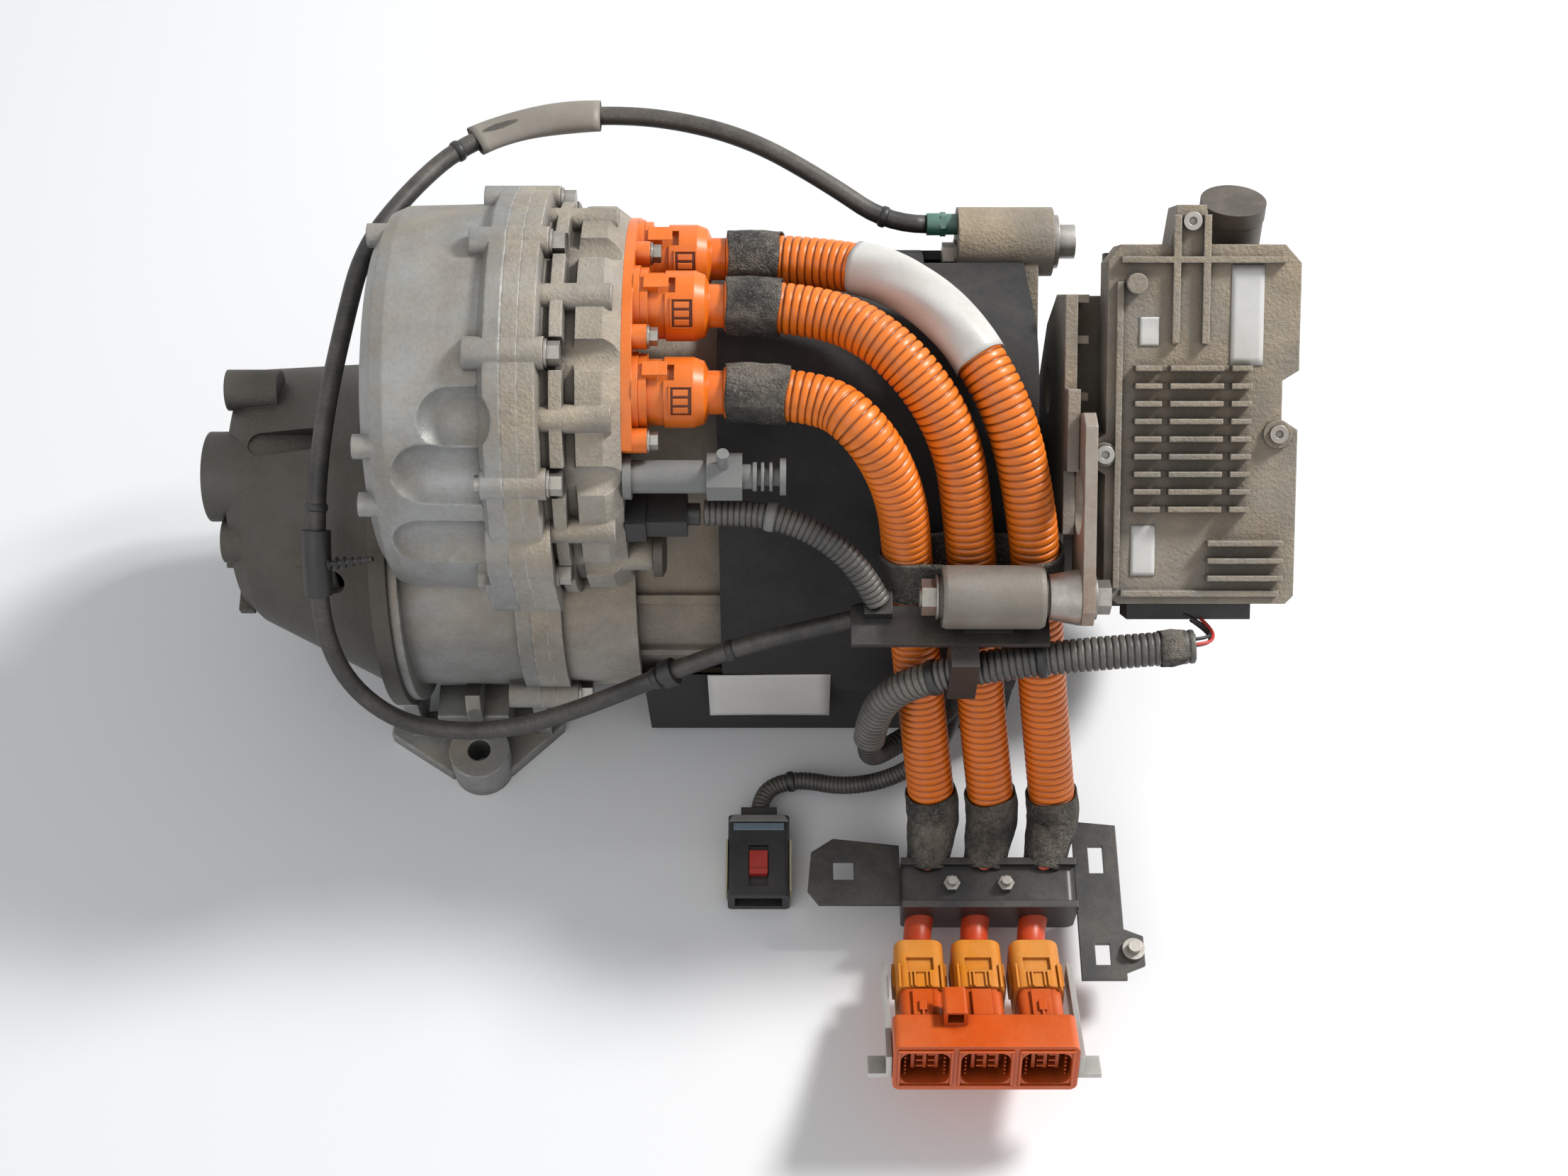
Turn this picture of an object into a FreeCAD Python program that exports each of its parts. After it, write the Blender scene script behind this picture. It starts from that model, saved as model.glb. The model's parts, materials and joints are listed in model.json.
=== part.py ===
"""Electric drive unit for a car axle, with its high-voltage harness.

X runs along the axle from the left output to the right one, Y points to the
back and Z up. The origin is the mouth of the left output. The output axis is
the X axis. The motor axis lies above it and the countershaft behind them.
Sizes are in millimetres.
"""
import FreeCAD, Part
import math
import os
from types import SimpleNamespace

import Sketcher
from FreeCAD import Placement, Rotation, Vector

os.makedirs("parts", exist_ok=True)
doc = FreeCAD.newDocument("electric_drive_unit")

SIZES = {
    # clearances
    "running_gap": 0.05,
    "seat_gap": 0.03,
    "free_gap": 0.5,
    # places of the shafts
    "motor_back": 7.5,
    "motor_up": 111.7,
    # gears
    "motor_pinion_teeth": 14,
    "counter_gear_teeth": 34,
    "first_module": 2.5,
    "counter_pinion_teeth": 13,
    "ring_gear_teeth": 45,
    "second_module": 3.0,
    "pressure_angle": 25.0,
    "backlash": 0.16,
    # stations along the axle
    "left_face": 5.0,
    "left_joint": 95.0,
    "first_seam": 167.0,
    "second_seam": 175.0,
    "cover_end": 222.0,
    "casing_split": 309.0,
    "casing_end": 409.0,
    "clutch_end": 479.0,
    "right_mouth": 532.0,
    "ground": -102.0,
    # castings
    "casting_wall": 6.0,
    "motor_radius": 98.0,
    "flange_radius": 105.0,
    "flange_width": 8.0,
    "lower_radius": 88.0,
    "lower_flange_radius": 92.0,
    "left_radius": 86.0,
    "left_end_radius": 95.0,
    "axle_bore_radius": 22.0,
    "lug_radius": 8.0,
    "lug_count": 10,
    "gear_gap": 4.0,
    "casing_wall": 5.0,
    "casing_flange": 8.0,
    "pinion_room": 31.0,
    "jacket_thickness": 5.0,
    "clutch_radius": 60.0,
    "tube_radius": 37.0,
    # motor
    "stator_radius": 82.3,
    "stator_bore": 51.0,
    "stator_start": 118.0,
    "stator_length": 56.0,
    "winding_overhang": 12.0,
    "air_gap": 1.0,
    "rotor_shaft_radius": 18.0,
    "journal_radius": 12.0,
    "rotor_bearing_radius": 17.5,
    "bearing_width": 12.0,
    # axle parts
    "output_radius": 12.5,
    "spline_bore": 9.0,
    "spline_depth": 30.0,
    "output_bearing_radius": 21.0,
    "seal_radius": 20.0,
    "seal_width": 7.0,
    "hub_radius": 19.0,
    "carrier_radius": 46.0,
    "carrier_start": 306.0,
    "carrier_end": 366.0,
    "first_gear_start": 240.0,
    "first_gear_width": 24.0,
    "second_gear_start": 274.0,
    "second_gear_width": 28.0,
    "counter_journal_radius": 14.0,
    "counter_bearing_radius": 20.0,
    "hub_bearing_radius": 27.0,
    "sleeve_radius": 28.0,
    "sleeve_width": 18.0,
    "sleeve_gap": 1.2,
    "dog_length": 4.0,
    # high-voltage side
    "plug_circle": 72.0,
    "plug_pitch": 36.0,
    "plug_middle_angle": 87.0,
    "plug_radius": 17.0,
    "plug_length": 40.0,
    "header_inner": 53.0,
    "header_outer": 91.0,
    "header_thickness": 5.0,
    "conduit_radius": 12.5,
    "cuff_wall": 1.6,
    "cable_radius": 7.5,
    "connector_pitch": 30.5,
    "connector_length": 78.0,
    "connector_tilt": 25.0,
    # control unit
    "unit_width": 94.0,
    "unit_height": 176.0,
    "unit_depth": 26.0,
    "unit_cover_depth": 10.0,
    "unit_tilt": 36.5,
    "unit_left": 457.0,
    "unit_low_back": -102.0,
    "unit_low_up": 91.0,
    "fin_count": 9,
    "fin_pitch": 8.6,
    "fin_height": 7.0,
    "fin_thickness": 2.6,
    "fin_length": 57.0,
    # hoses and low-voltage conduits
    "vent_radius": 4.8,
    "wire_conduit_radius": 8.5,
    "branch_radius": 5.0,
    "sensor_radius": 6.5,
    # bush and brackets
    "bush_radius": 15.6,
    "bush_length": 54.0,
    "bush_bolt_radius": 5.0,
    "bush_back": -106.5,
    "bush_up": 105.5,
    "bush_start": 374.0,
    "plate_thickness": 6.0,
    "strip_thickness": 3.0,
    "screw_radius": 4.0,
}


class Size(float):
    """A number that also knows its formula in the sheet's words."""

    def __new__(cls, value, text):
        size = super().__new__(cls, value)
        size.text = text
        return size


def formula(value):
    return value.text if isinstance(value, Size) else repr(float(value))


def combined(sign, work):
    def forward(left, right):
        return Size(work(float(left), float(right)), f"({formula(left)} {sign} {formula(right)})")

    def backward(left, right):
        return Size(work(float(right), float(left)), f"({formula(right)} {sign} {formula(left)})")

    return forward, backward


Size.__add__, Size.__radd__ = combined("+", lambda a, b: a + b)
Size.__sub__, Size.__rsub__ = combined("-", lambda a, b: a - b)
Size.__mul__, Size.__rmul__ = combined("*", lambda a, b: a * b)
Size.__truediv__, Size.__rtruediv__ = combined("/", lambda a, b: a / b)
Size.__neg__ = lambda size: Size(-float(size), f"(0 - {formula(size)})")

sheet = doc.addObject("Spreadsheet::Sheet", "sizes")
for row, (name, value) in enumerate(SIZES.items(), start=1):
    sheet.set(f"A{row}", name)
    sheet.set(f"B{row}", str(value))
    sheet.setAlias(f"B{row}", name)
doc.recompute()
S = SimpleNamespace(**{name: Size(sheet.get(name), "sizes." + name) for name in SIZES})

X_AXIS = Vector(1, 0, 0)
LEVEL = Rotation()
ALONG_X = Rotation(Vector(0, 1, 0), 90)
ALONG_Y = Rotation(Vector(1, 0, 0), -90)
nodes = {}


def node(obj, label):
    """Name a finished piece and put it on the list that is written out."""
    obj.Label = label
    nodes[label] = obj
    return obj


def bind(obj, prop, value):
    if isinstance(value, Size):
        obj.setExpression(prop, value.text)
    else:
        setattr(obj, prop, value)


def place(obj, at, turn=LEVEL):
    obj.Placement = Placement(Vector(*at), turn)
    for axis, value in zip("xyz", at):
        if isinstance(value, Size):
            obj.setExpression("Placement.Base." + axis, value.text)
    return obj


def rod(radius, length, at, turn=ALONG_X):
    """A cylinder from `at`, along X unless turned."""
    obj = doc.addObject("Part::Cylinder", "rod")
    bind(obj, "Radius", radius)
    bind(obj, "Height", length)
    return place(obj, at, turn)


def cone(start_radius, end_radius, length, at, turn=ALONG_X):
    obj = doc.addObject("Part::Cone", "cone")
    bind(obj, "Radius1", start_radius)
    bind(obj, "Radius2", end_radius)
    bind(obj, "Height", length)
    return place(obj, at, turn)


def block(size, at, turn=LEVEL):
    obj = doc.addObject("Part::Box", "block")
    for prop, value in zip(("Length", "Width", "Height"), size):
        bind(obj, prop, value)
    return place(obj, at, turn)


def nut(across_corners, length, at, turn=ALONG_X):
    """A hexagon head or nut."""
    obj = doc.addObject("Part::Prism", "hexagon")
    obj.Polygon = 6
    bind(obj, "Circumradius", across_corners / 2)
    bind(obj, "Height", length)
    return place(obj, at, turn)


def joined(pieces):
    obj = doc.addObject("Part::MultiFuse", "joined")
    obj.Shapes = pieces
    obj.Refine = True
    return obj


def cut(base, tool):
    obj = doc.addObject("Part::Cut", "cut")
    obj.Base = base
    obj.Tool = tool
    return obj


def shaped(shape, name="shaped"):
    obj = doc.addObject("Part::Feature", name)
    obj.Shape = shape
    return obj


shared = {}


def share(label, pieces):
    """Put separate solids of one kind on a node that several places fill."""
    shared.setdefault(label, []).extend(pieces)


def group_shared():
    for label, pieces in shared.items():
        obj = doc.addObject("Part::Compound", "group")
        obj.Links = pieces
        node(obj, label)


def drawn(body, plane, loops):
    """A sketch of closed loops whose corners are tied to the sheet."""
    sketch = body.newObject("Sketcher::SketchObject", body.Name + "_sketch")
    origin_plane = next(item for item in body.Origin.OriginFeatures if item.Role == plane)
    sketch.AttachmentSupport = [(origin_plane, "")]
    sketch.MapMode = "FlatFace"
    for loop in loops:
        first = sketch.GeometryCount
        count = len(loop)
        corners = [Vector(float(a), float(b), 0) for a, b in loop]
        for index in range(count):
            line = Part.LineSegment(corners[index], corners[(index + 1) % count])
            sketch.addGeometry(line, False)
        for index in range(count):
            after = first + (index + 1) % count
            sketch.addConstraint(Sketcher.Constraint("Coincident", first + index, 2, after, 1))
        for index, corner in enumerate(loop):
            for kind, value, axis in zip(("DistanceX", "DistanceY"), corner, (-2, -1)):
                tie_corner(sketch, first + index, kind, value, axis)
    return sketch


def tie_corner(sketch, line, kind, value, axis):
    if not isinstance(value, Size) and value == 0:
        sketch.addConstraint(Sketcher.Constraint("PointOnObject", line, 1, axis))
        return
    number = sketch.addConstraint(Sketcher.Constraint(kind, -1, 1, line, 1, float(value)))
    if isinstance(value, Size):
        sketch.setExpression(f"Constraints[{number}]", value.text)


def turned(name, half_section, at=(0, 0, 0), turn=LEVEL):
    """A body revolved about its own X axis from (station, radius) corners."""
    body = doc.addObject("PartDesign::Body", name)
    sketch = drawn(body, "XY_Plane", [half_section])
    spin = body.newObject("PartDesign::Revolution", name + "_turn")
    spin.Profile = sketch
    spin.ReferenceAxis = (sketch, ["H_Axis"])
    spin.Angle = 360
    return place(body, at, turn)


def plate(name, loops, thickness, at=(0, 0, 0), turn=LEVEL):
    """A body padded along its own Z from closed loops in its XY plane."""
    body = doc.addObject("PartDesign::Body", name)
    sketch = drawn(body, "XY_Plane", loops)
    pad = body.newObject("PartDesign::Pad", name + "_pad")
    pad.Profile = sketch
    bind(pad, "Length", thickness)
    return place(body, at, turn)


def ring(outer, inner, width, at, turn=ALONG_X):
    return cut(rod(outer, width, at, turn), rod(inner, width, at, turn))


# Shaft places, worked out from the gears

FIRST_DISTANCE = (S.motor_pinion_teeth + S.counter_gear_teeth) * S.first_module / 2
SECOND_DISTANCE = (S.counter_pinion_teeth + S.ring_gear_teeth) * S.second_module / 2
ADDENDUM = 0.85
DEDENDUM = 1.05


def countershaft_place():
    """The corner of the triangle whose sides are the two gear distances."""
    base = math.hypot(S.motor_back, S.motor_up)
    along = (SECOND_DISTANCE ** 2 - FIRST_DISTANCE ** 2 + base ** 2) / (2 * base)
    off = math.sqrt(SECOND_DISTANCE ** 2 - along ** 2)
    way = (S.motor_back / base, S.motor_up / base)
    return way[0] * along + way[1] * off, way[1] * along - way[0] * off


AXLE = (0.0, 0.0)
MOTOR = (S.motor_back, S.motor_up)
COUNTER = countershaft_place()
COUNTER_ROOM = S.first_module * (S.counter_gear_teeth / 2 + ADDENDUM) + S.gear_gap
RING_ROOM = S.second_module * (S.ring_gear_teeth / 2 + ADDENDUM) + S.gear_gap
LUG = (98.0, 126.0)
LUG_START = 390
LUG_END = 440


def disc(radius, start, end, centre):
    """A plain cylinder shape along X."""
    return Part.makeCylinder(radius, end - start, Vector(start, *centre), X_AXIS)


def around(centre, radius, angle):
    """A point at an angle from +Y towards +Z."""
    bearing = math.radians(angle)
    return centre[0] + radius * math.cos(bearing), centre[1] + radius * math.sin(bearing)


def hull_face(circles, station):
    """The taut outline round circles (y, z, radius), given anticlockwise."""
    tangents = []
    for first, second in zip(circles, circles[1:] + circles[:1]):
        gap = math.hypot(second[0] - first[0], second[1] - first[1])
        along = ((second[0] - first[0]) / gap, (second[1] - first[1]) / gap)
        lean = (first[2] - second[2]) / gap
        side = math.sqrt(1 - lean ** 2)
        normal = (lean * along[0] + side * along[1], lean * along[1] - side * along[0])
        tangents.append([
            Vector(station, circle[0] + circle[2] * normal[0], circle[1] + circle[2] * normal[1])
            for circle in (first, second)
        ])
    edges = []
    for index, (begin, end) in enumerate(tangents):
        edges.append(Part.LineSegment(begin, end).toShape())
        circle = circles[(index + 1) % len(circles)]
        leave = tangents[(index + 1) % len(tangents)][0]
        middle = arc_middle(end, leave, circle, station)
        edges.append(Part.Arc(end, middle, leave).toShape())
    return Part.Face(Part.Wire(edges))


def arc_middle(enter, leave, circle, station):
    begin = math.atan2(enter.z - circle[1], enter.y - circle[0])
    end = math.atan2(leave.z - circle[1], leave.y - circle[0])
    if end < begin:
        end += 2 * math.pi
    half = math.degrees((begin + end) / 2)
    return Vector(station, *around(circle[:2], circle[2], half))


def casing_block(offset, start, end):
    """The gearbox outline grown by an offset, between two stations."""
    circles = [
        (AXLE[0], AXLE[1], RING_ROOM + offset),
        (COUNTER[0], COUNTER[1], COUNTER_ROOM + offset),
        (MOTOR[0], MOTOR[1], S.pinion_room + offset),
    ]
    return hull_face(circles, start).extrude(Vector(end - start, 0, 0))


def unite(shapes):
    return shapes[0].multiFuse(list(shapes[1:])).removeSplitter()


# Castings round the motor

LUG_ANGLES = [77 + index * 360 / int(S.lug_count) for index in range(int(S.lug_count))]
LIP_ANGLE = 186


def clear_of_axle(angle):
    """True where a lug on the motor flange lies outside the lower casing."""
    spot = around(MOTOR, S.flange_radius, angle)
    return math.hypot(*spot) > S.lower_flange_radius + S.lug_radius


OUTER_LUGS = [angle for angle in LUG_ANGLES if clear_of_axle(angle)]
LOWER_LUGS = [200, 235, 270, 305, 340]


def lug_spots():
    spots = [around(MOTOR, S.flange_radius - 6, angle) for angle in OUTER_LUGS]
    return spots + [around(AXLE, S.lower_flange_radius + 2, angle) for angle in LOWER_LUGS]


def lug_discs(start, end):
    return [disc(S.lug_radius, start, end, spot) for spot in lug_spots()]


def bolt_holes(start, end):
    hole = S.screw_radius + S.running_gap
    return [disc(hole, start, end, spot) for spot in lug_spots()]


def lip(start, end):
    """The oval bulge low on the front of the flange stack."""
    circles = [
        (*around(MOTOR, S.flange_radius - 14, LIP_ANGLE - 12), 20),
        (*around(MOTOR, S.flange_radius - 14, LIP_ANGLE + 12), 20),
    ]
    return hull_face(circles, start).extrude(Vector(end - start, 0, 0))


def lower_room(start, end):
    """The hollow of the lower casing, which leaves the stator's wall whole."""
    room = disc(S.lower_radius - S.casting_wall, start, end, AXLE)
    room = room.cut(disc(S.motor_radius, start, end, MOTOR))
    return room.fuse(disc(S.axle_bore_radius, start, end, AXLE))


def revolved(half_section, centre):
    """A solid turned about an axis along X from (station, radius) corners."""
    corners = [Vector(x, centre[0], centre[1] + radius) for x, radius in half_section]
    face = Part.Face(Part.makePolygon(corners + corners[:1]))
    return face.revolve(Vector(0, centre[0], centre[1]), X_AXIS, 360)


def bar(length, width, height, corner, angle=0):
    """A block shape laid at `corner`, then turned about the output axis."""
    shape = Part.makeBox(length, width, height, Vector(*corner))
    shape.rotate(Vector(0, 0, 0), X_AXIS, angle)
    return shape


# The left housing leans: its small end sits up and to the back of the axle

LEFT_RINGS = ((0, 64), (9, 70), (81, 90))


def leaning_cone(inset, start, end):
    """The left housing's tapered form, drawn in by an inset, between two stations."""
    wires = []
    for station, radius in LEFT_RINGS:
        share_left = 1 - station / LEFT_RINGS[-1][0]
        centre = Vector(S.left_face + station, 16 * share_left, 9 * share_left)
        wires.append(Part.Wire([Part.Circle(centre, X_AXIS, radius - inset).toShape()]))
    form = Part.makeLoft(wires, True, True)
    return form.common(disc(200, start, end, AXLE))


def make_left_housing():
    wall = 8
    face = S.left_face
    joint = S.left_joint
    cone_end = face + LEFT_RINGS[-1][0]
    seat_end = S.seal_width + S.bearing_width
    solid = unite([
        leaning_cone(0, face, cone_end), disc(31, 0, face + 1, AXLE),
        disc(S.left_end_radius + 5, joint - 9, joint, AXLE),
    ])
    hollow = leaning_cone(wall, face + wall, cone_end)
    hollow = hollow.cut(disc(S.output_bearing_radius + wall, 0, seat_end + 8, AXLE))
    hollow = hollow.fuse(disc(S.left_end_radius - S.casting_wall, cone_end - 2, joint, AXLE))
    for angle in range(0, 360, 45):
        solid = solid.fuse(bar(face + 3, 6, 22, (1, -3, 29), angle + 10))
    ear = disc(11, face - 2, face + 26, around(AXLE, 86, 65))
    lobe = disc(24, -6, face + 44, (-3, 54))
    hook = disc(12, face - 3, face + 30, (-34, 40))
    shell = unite([solid, ear, lobe, hook]).cut(hollow)
    for station, angle, length, depth in ((24, 89, 26, 77), (46, 143, 18, 74)):
        shell = shell.cut(pocket(station, angle, length, depth))
    shell = shell.cut(disc(6.5, face - 3, face + 12, around(AXLE, 86, 65)))
    shell = shell.cut(disc(S.seal_radius, -1, S.seal_width, AXLE))
    shell = shell.cut(disc(S.output_bearing_radius, S.seal_width, seat_end, AXLE))
    shell = shell.cut(disc(S.output_radius + 3, 0, seat_end + 8, AXLE))
    node(shaped(shell), "left_axle_housing")


def pocket(station, angle, length, depth):
    """A round-ended recess sunk square into the housing's side."""
    outward = Vector(0, *around(AXLE, 1, angle))
    slot = [
        Part.makeCylinder(6.5, 30, outward * depth + Vector(x, 0, 0), outward)
        for x in (station, station + length)
    ]
    middle = Part.makeBox(length, 13, 30, Vector(station, -6.5, depth))
    middle.rotate(Vector(0, 0, 0), X_AXIS, angle - 90)
    return unite(slot + [middle])


def make_motor_housing():
    start = S.left_joint
    end = S.first_seam
    flange = end - S.flange_width
    bell = revolved([
        (start, 0), (start, 70), (start + 3, 84), (start + 9, S.motor_radius - 4),
        (start + 16, S.motor_radius - 1), (flange - 4, S.motor_radius), (flange, S.flange_radius),
        (end, S.flange_radius), (end, 0),
    ], MOTOR)
    lower = disc(S.lower_radius, start, end, AXLE)
    lower = lower.fuse(disc(S.lower_flange_radius, flange, end, AXLE))
    tube = disc(S.left_end_radius + 2, start, start + 5, AXLE)
    body = unite([bell, lower, tube, lip(flange - 6, end)] + lug_discs(flange - 10, end))
    for angle, scoop_start in ((131, 48), (147, 34), (171, 30), (30, 40), (-6, 40)):
        body = body.cut(scoop(angle, start + scoop_start, flange - 3))
    for angle in (62, 140, 160):
        body = body.fuse(disc(6, start, start + 14, around(MOTOR, S.motor_radius - 9, angle)))
    journal = disc(27, start, start + 20, MOTOR)
    stator_room = disc(S.stator_radius, start + S.casting_wall + 2, end, MOTOR).cut(journal)
    seat = disc(S.rotor_bearing_radius, start + S.casting_wall, start + 20, MOTOR)
    body = body.cut(unite([stator_room, seat])).cut(lower_room(start + S.casting_wall, end))
    body = body.cut(disc(S.axle_bore_radius, start, end, AXLE))
    node(shaped(body.cut(Part.makeCompound(bolt_holes(flange - 8, end)))), "motor_housing")


def scoop(angle, start, end):
    """A round-ended hollow in the bell's side, between the lugs."""
    radius = 20
    centre = around(MOTOR, S.motor_radius + 11, angle)
    nose = Part.makeSphere(radius, Vector(start, *centre))
    return nose.fuse(disc(radius, start, end, centre))


def make_middle_ring():
    start, end = S.first_seam, S.second_seam
    body = unite([
        disc(S.flange_radius, start, end, MOTOR), disc(S.lower_flange_radius, start, end, AXLE),
        lip(start, end),
    ] + lug_discs(start, end))
    body = body.cut(disc(S.stator_radius, start, end, MOTOR)).cut(lower_room(start, end))
    node(shaped(body.cut(Part.makeCompound(bolt_holes(start, end)))), "motor_middle_ring")


def make_end_cover():
    start, end = S.second_seam, S.cover_end
    flange = start + S.flange_width
    cover = revolved([
        (start, 0), (start, S.flange_radius), (flange, S.flange_radius), (flange + 2, 97),
        (flange + 5, S.motor_radius - 3), (flange + 6, S.motor_radius + 1.5),
        (flange + 12, S.motor_radius + 1.5), (flange + 13, S.motor_radius - 6),
        (flange + 17, S.motor_radius - 6), (flange + 18, S.motor_radius - 1),
        (end - 8, S.motor_radius - 1), (end, S.motor_radius - 7), (end, 0),
    ], MOTOR)
    lower = disc(S.lower_radius, start, end, AXLE)
    lower = lower.fuse(disc(S.lower_flange_radius, start, flange, AXLE))
    bosses = [disc(7, flange, end - 4, around(MOTOR, S.motor_radius - 4, a)) for a in (59, 95, 131, 167)]
    body = unite([cover, lower, lip(start, flange + 4)] + bosses + lug_discs(start, flange + 4))
    for spot in lug_spots():
        body = body.cut(disc(S.lug_radius, flange + 4, end, spot))
    room = disc(S.stator_radius, start, end - 8, MOTOR).cut(disc(27, end - 20, end - 8, MOTOR))
    seat = disc(S.rotor_bearing_radius, end - 20, end - 6, MOTOR)
    shaft_way = disc(S.journal_radius + 1, end - 8, end, MOTOR)
    body = body.cut(unite([room, seat])).cut(shaft_way)
    body = body.cut(lower_room(start, end - S.casting_wall))
    body = body.cut(disc(S.axle_bore_radius, start, end, AXLE))
    neck = disc(8.5, end - 8, end + 12, port_place()).cut(disc(6, end, end + 12, port_place()))
    body = body.fuse(neck)
    node(shaped(body.cut(Part.makeCompound(bolt_holes(start, flange + 5)))), "motor_end_cover")


def port_place():
    return around(MOTOR, S.motor_radius - 13, 190)


def make_through_bolts():
    """Hexagon bolts through the three rings, heads on the cover's side."""
    flange_end = S.second_seam + S.flange_width + 4
    length = flange_end - (S.first_seam - S.flange_width - 6)
    bolts = []
    for spot in lug_spots():
        shank = rod(S.screw_radius, length, (flange_end - length, *spot))
        washer = rod(7, 1.5, (flange_end, *spot))
        bolts.append(joined([shank, washer, nut(12, 6, (flange_end + 1.5, *spot))]))
    share("casing_bolts", bolts)


def make_gearbox():
    left_wall = S.cover_end + 8
    split = S.casing_split
    end = S.casing_end
    rim = 7
    left = unite([
        casing_block(S.casing_wall, S.cover_end, split),
        casing_block(S.casing_wall + S.casing_flange, split - rim, split),
    ])
    left = left.cut(casing_block(0, left_wall, split))
    seats = [
        (COUNTER, S.counter_bearing_radius, S.counter_bearing_radius + 6),
        (AXLE, S.hub_bearing_radius, S.hub_bearing_radius + 6),
    ]
    for centre, seat, boss in seats:
        left = left.fuse(disc(boss, left_wall, left_wall + 4, centre))
        left = left.cut(disc(seat, left_wall - 8, left_wall + 4, centre))
    left = left.cut(disc(S.journal_radius + 2, S.cover_end, left_wall, MOTOR))
    for angle in (150, 178, 206, 234):
        left = left.fuse(outer_rib(angle, S.cover_end, split - rim))
    node(shaped(left.cut(casing_bolt_holes(split - rim, split))), "gearbox_casing_left")

    right = unite([
        casing_block(S.casing_wall, split, end),
        casing_block(S.casing_wall + S.casing_flange, split, split + rim),
    ])
    right = right.fuse(lug_shape(0)).cut(casing_block(0, split, end - 8))
    right = right.cut(disc(S.clutch_radius + 0.3, end, LUG_END, AXLE))
    for centre, seat, boss in seats:
        right = right.fuse(disc(boss, end - 20, end - 8, centre))
        right = right.cut(disc(seat, end - 20, end - 4, centre))
    right = right.cut(disc(S.hub_radius + 2, end - 20, end, AXLE))
    node(shaped(right.cut(casing_bolt_holes(split, split + rim))), "gearbox_casing_right")


def outer_rib(angle, start, end):
    """A low stiffening rib on the casing, along the axle."""
    radius = RING_ROOM + S.casing_wall
    rib = Part.makeBox(end - start, 5, 5, Vector(start, -2.5, radius - 2))
    rib.rotate(Vector(0, 0, 0), X_AXIS, angle - 90)
    return rib


CASING_BOLT_SPOTS = [
    around(centre, room + S.casing_wall + 4.6, angle)
    for centre, room, angles in (
        (AXLE, RING_ROOM, (170, 205, 240, 275, 310)),
        (COUNTER, COUNTER_ROOM, (-20, 20, 60)),
        (MOTOR, S.pinion_room, (90, 150)),
    )
    for angle in angles
]


def casing_bolt_holes(start, end):
    hole = 3 + S.running_gap
    return Part.makeCompound([disc(hole, start, end, spot) for spot in CASING_BOLT_SPOTS])


def make_casing_bolts():
    start = S.casing_split - 7
    bolts = [
        joined([rod(3, 14, (start, *spot)), nut(7.6, 4, (start + 14, *spot))])
        for spot in CASING_BOLT_SPOTS
    ]
    share("casing_bolts", bolts)


def make_jacket():
    """Moulded foam round the gearbox, square below and open at the left."""
    inner = S.casing_wall + S.casing_flange + S.free_gap
    outer = inner + S.jacket_thickness
    start = S.cover_end + 44
    end = S.casing_end + 15
    low_start = S.cover_end + 1
    skin = casing_block(outer, start, end)
    corner = RING_ROOM + outer
    sole = hull_face([
        (-corner + 26, S.ground + 14, 14), (corner - 20, S.ground + 14, 14),
        (corner - 14, -10, 10), (-corner + 14, -20, 10),
    ], low_start).extrude(Vector(end - low_start, 0, 0))
    skin = unite([skin, sole])
    skin = skin.cut(casing_block(inner, low_start, S.casing_end + S.free_gap))
    skin = skin.cut(disc(S.clutch_radius + S.free_gap, S.casing_end - 1, end, AXLE))
    skin = skin.cut(lug_shape(S.free_gap)).cut(disc(19, LUG_START - 18, LUG_START, LUG))
    node(shaped(skin), "acoustic_jacket")


def make_foot():
    """Plate foot under the lower casing with a gusset and a bolting boss."""
    radius = S.lower_flange_radius + 0.3
    boss_place = (127, -101)
    outline = [(74, -70), (172, -66), (172, -78), (144, -106), (110, -108), (74, -84)]
    points = [Vector(x, y, S.ground) for x, y in outline]
    base = Part.Face(Part.makePolygon(points + points[:1])).extrude(Vector(0, 0, 9))
    webs = []
    for station in (86, 122, 158):
        reach = -108 if station == 122 else -84
        webs.append(Part.Face(Part.makePolygon([
            Vector(station, reach, S.ground + 8), Vector(station, -60, S.ground + 8),
            Vector(station, -50, -62), Vector(station, -84, -44), Vector(station, reach, S.ground + 8),
        ])).extrude(Vector(8, 0, 0)))
    web = unite(webs)
    pad = Part.makeBox(40, 20, 30, Vector(104, -86, -96))
    boss = Part.makeCylinder(17, 24, Vector(*boss_place, S.ground))
    foot = unite([base, web, pad, boss])
    foot = foot.cut(disc(S.lower_radius + 0.3, 70, S.first_seam, AXLE))
    foot = foot.cut(disc(S.left_end_radius + 5.3, 0, S.left_joint + 5.3, AXLE))
    lugs = [disc(S.lug_radius + 0.3, 140, 200, spot) for spot in lug_spots()]
    foot = foot.cut(disc(radius, S.first_seam - S.flange_width - 0.3, 190, AXLE)).cut(lugs)
    foot = foot.cut(Part.makeCylinder(6.5, 60, Vector(*boss_place, S.ground - 1)))
    foot = foot.cut(Part.makeCylinder(13, 60, Vector(*boss_place, S.ground + 24)))
    node(shaped(foot), "mounting_foot")


# Motor insides and shafts

def make_stator():
    core = ring(S.stator_radius - S.seat_gap, S.stator_bore, S.stator_length,
                (S.stator_start, *MOTOR))
    node(core, "stator_core")
    overhang = S.winding_overhang
    ends = [
        ring(S.stator_radius - 6, S.stator_bore + 6, overhang, (start, *MOTOR))
        for start in (S.stator_start - overhang, S.stator_start + S.stator_length)
    ]
    share("stator_windings", ends)


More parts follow.
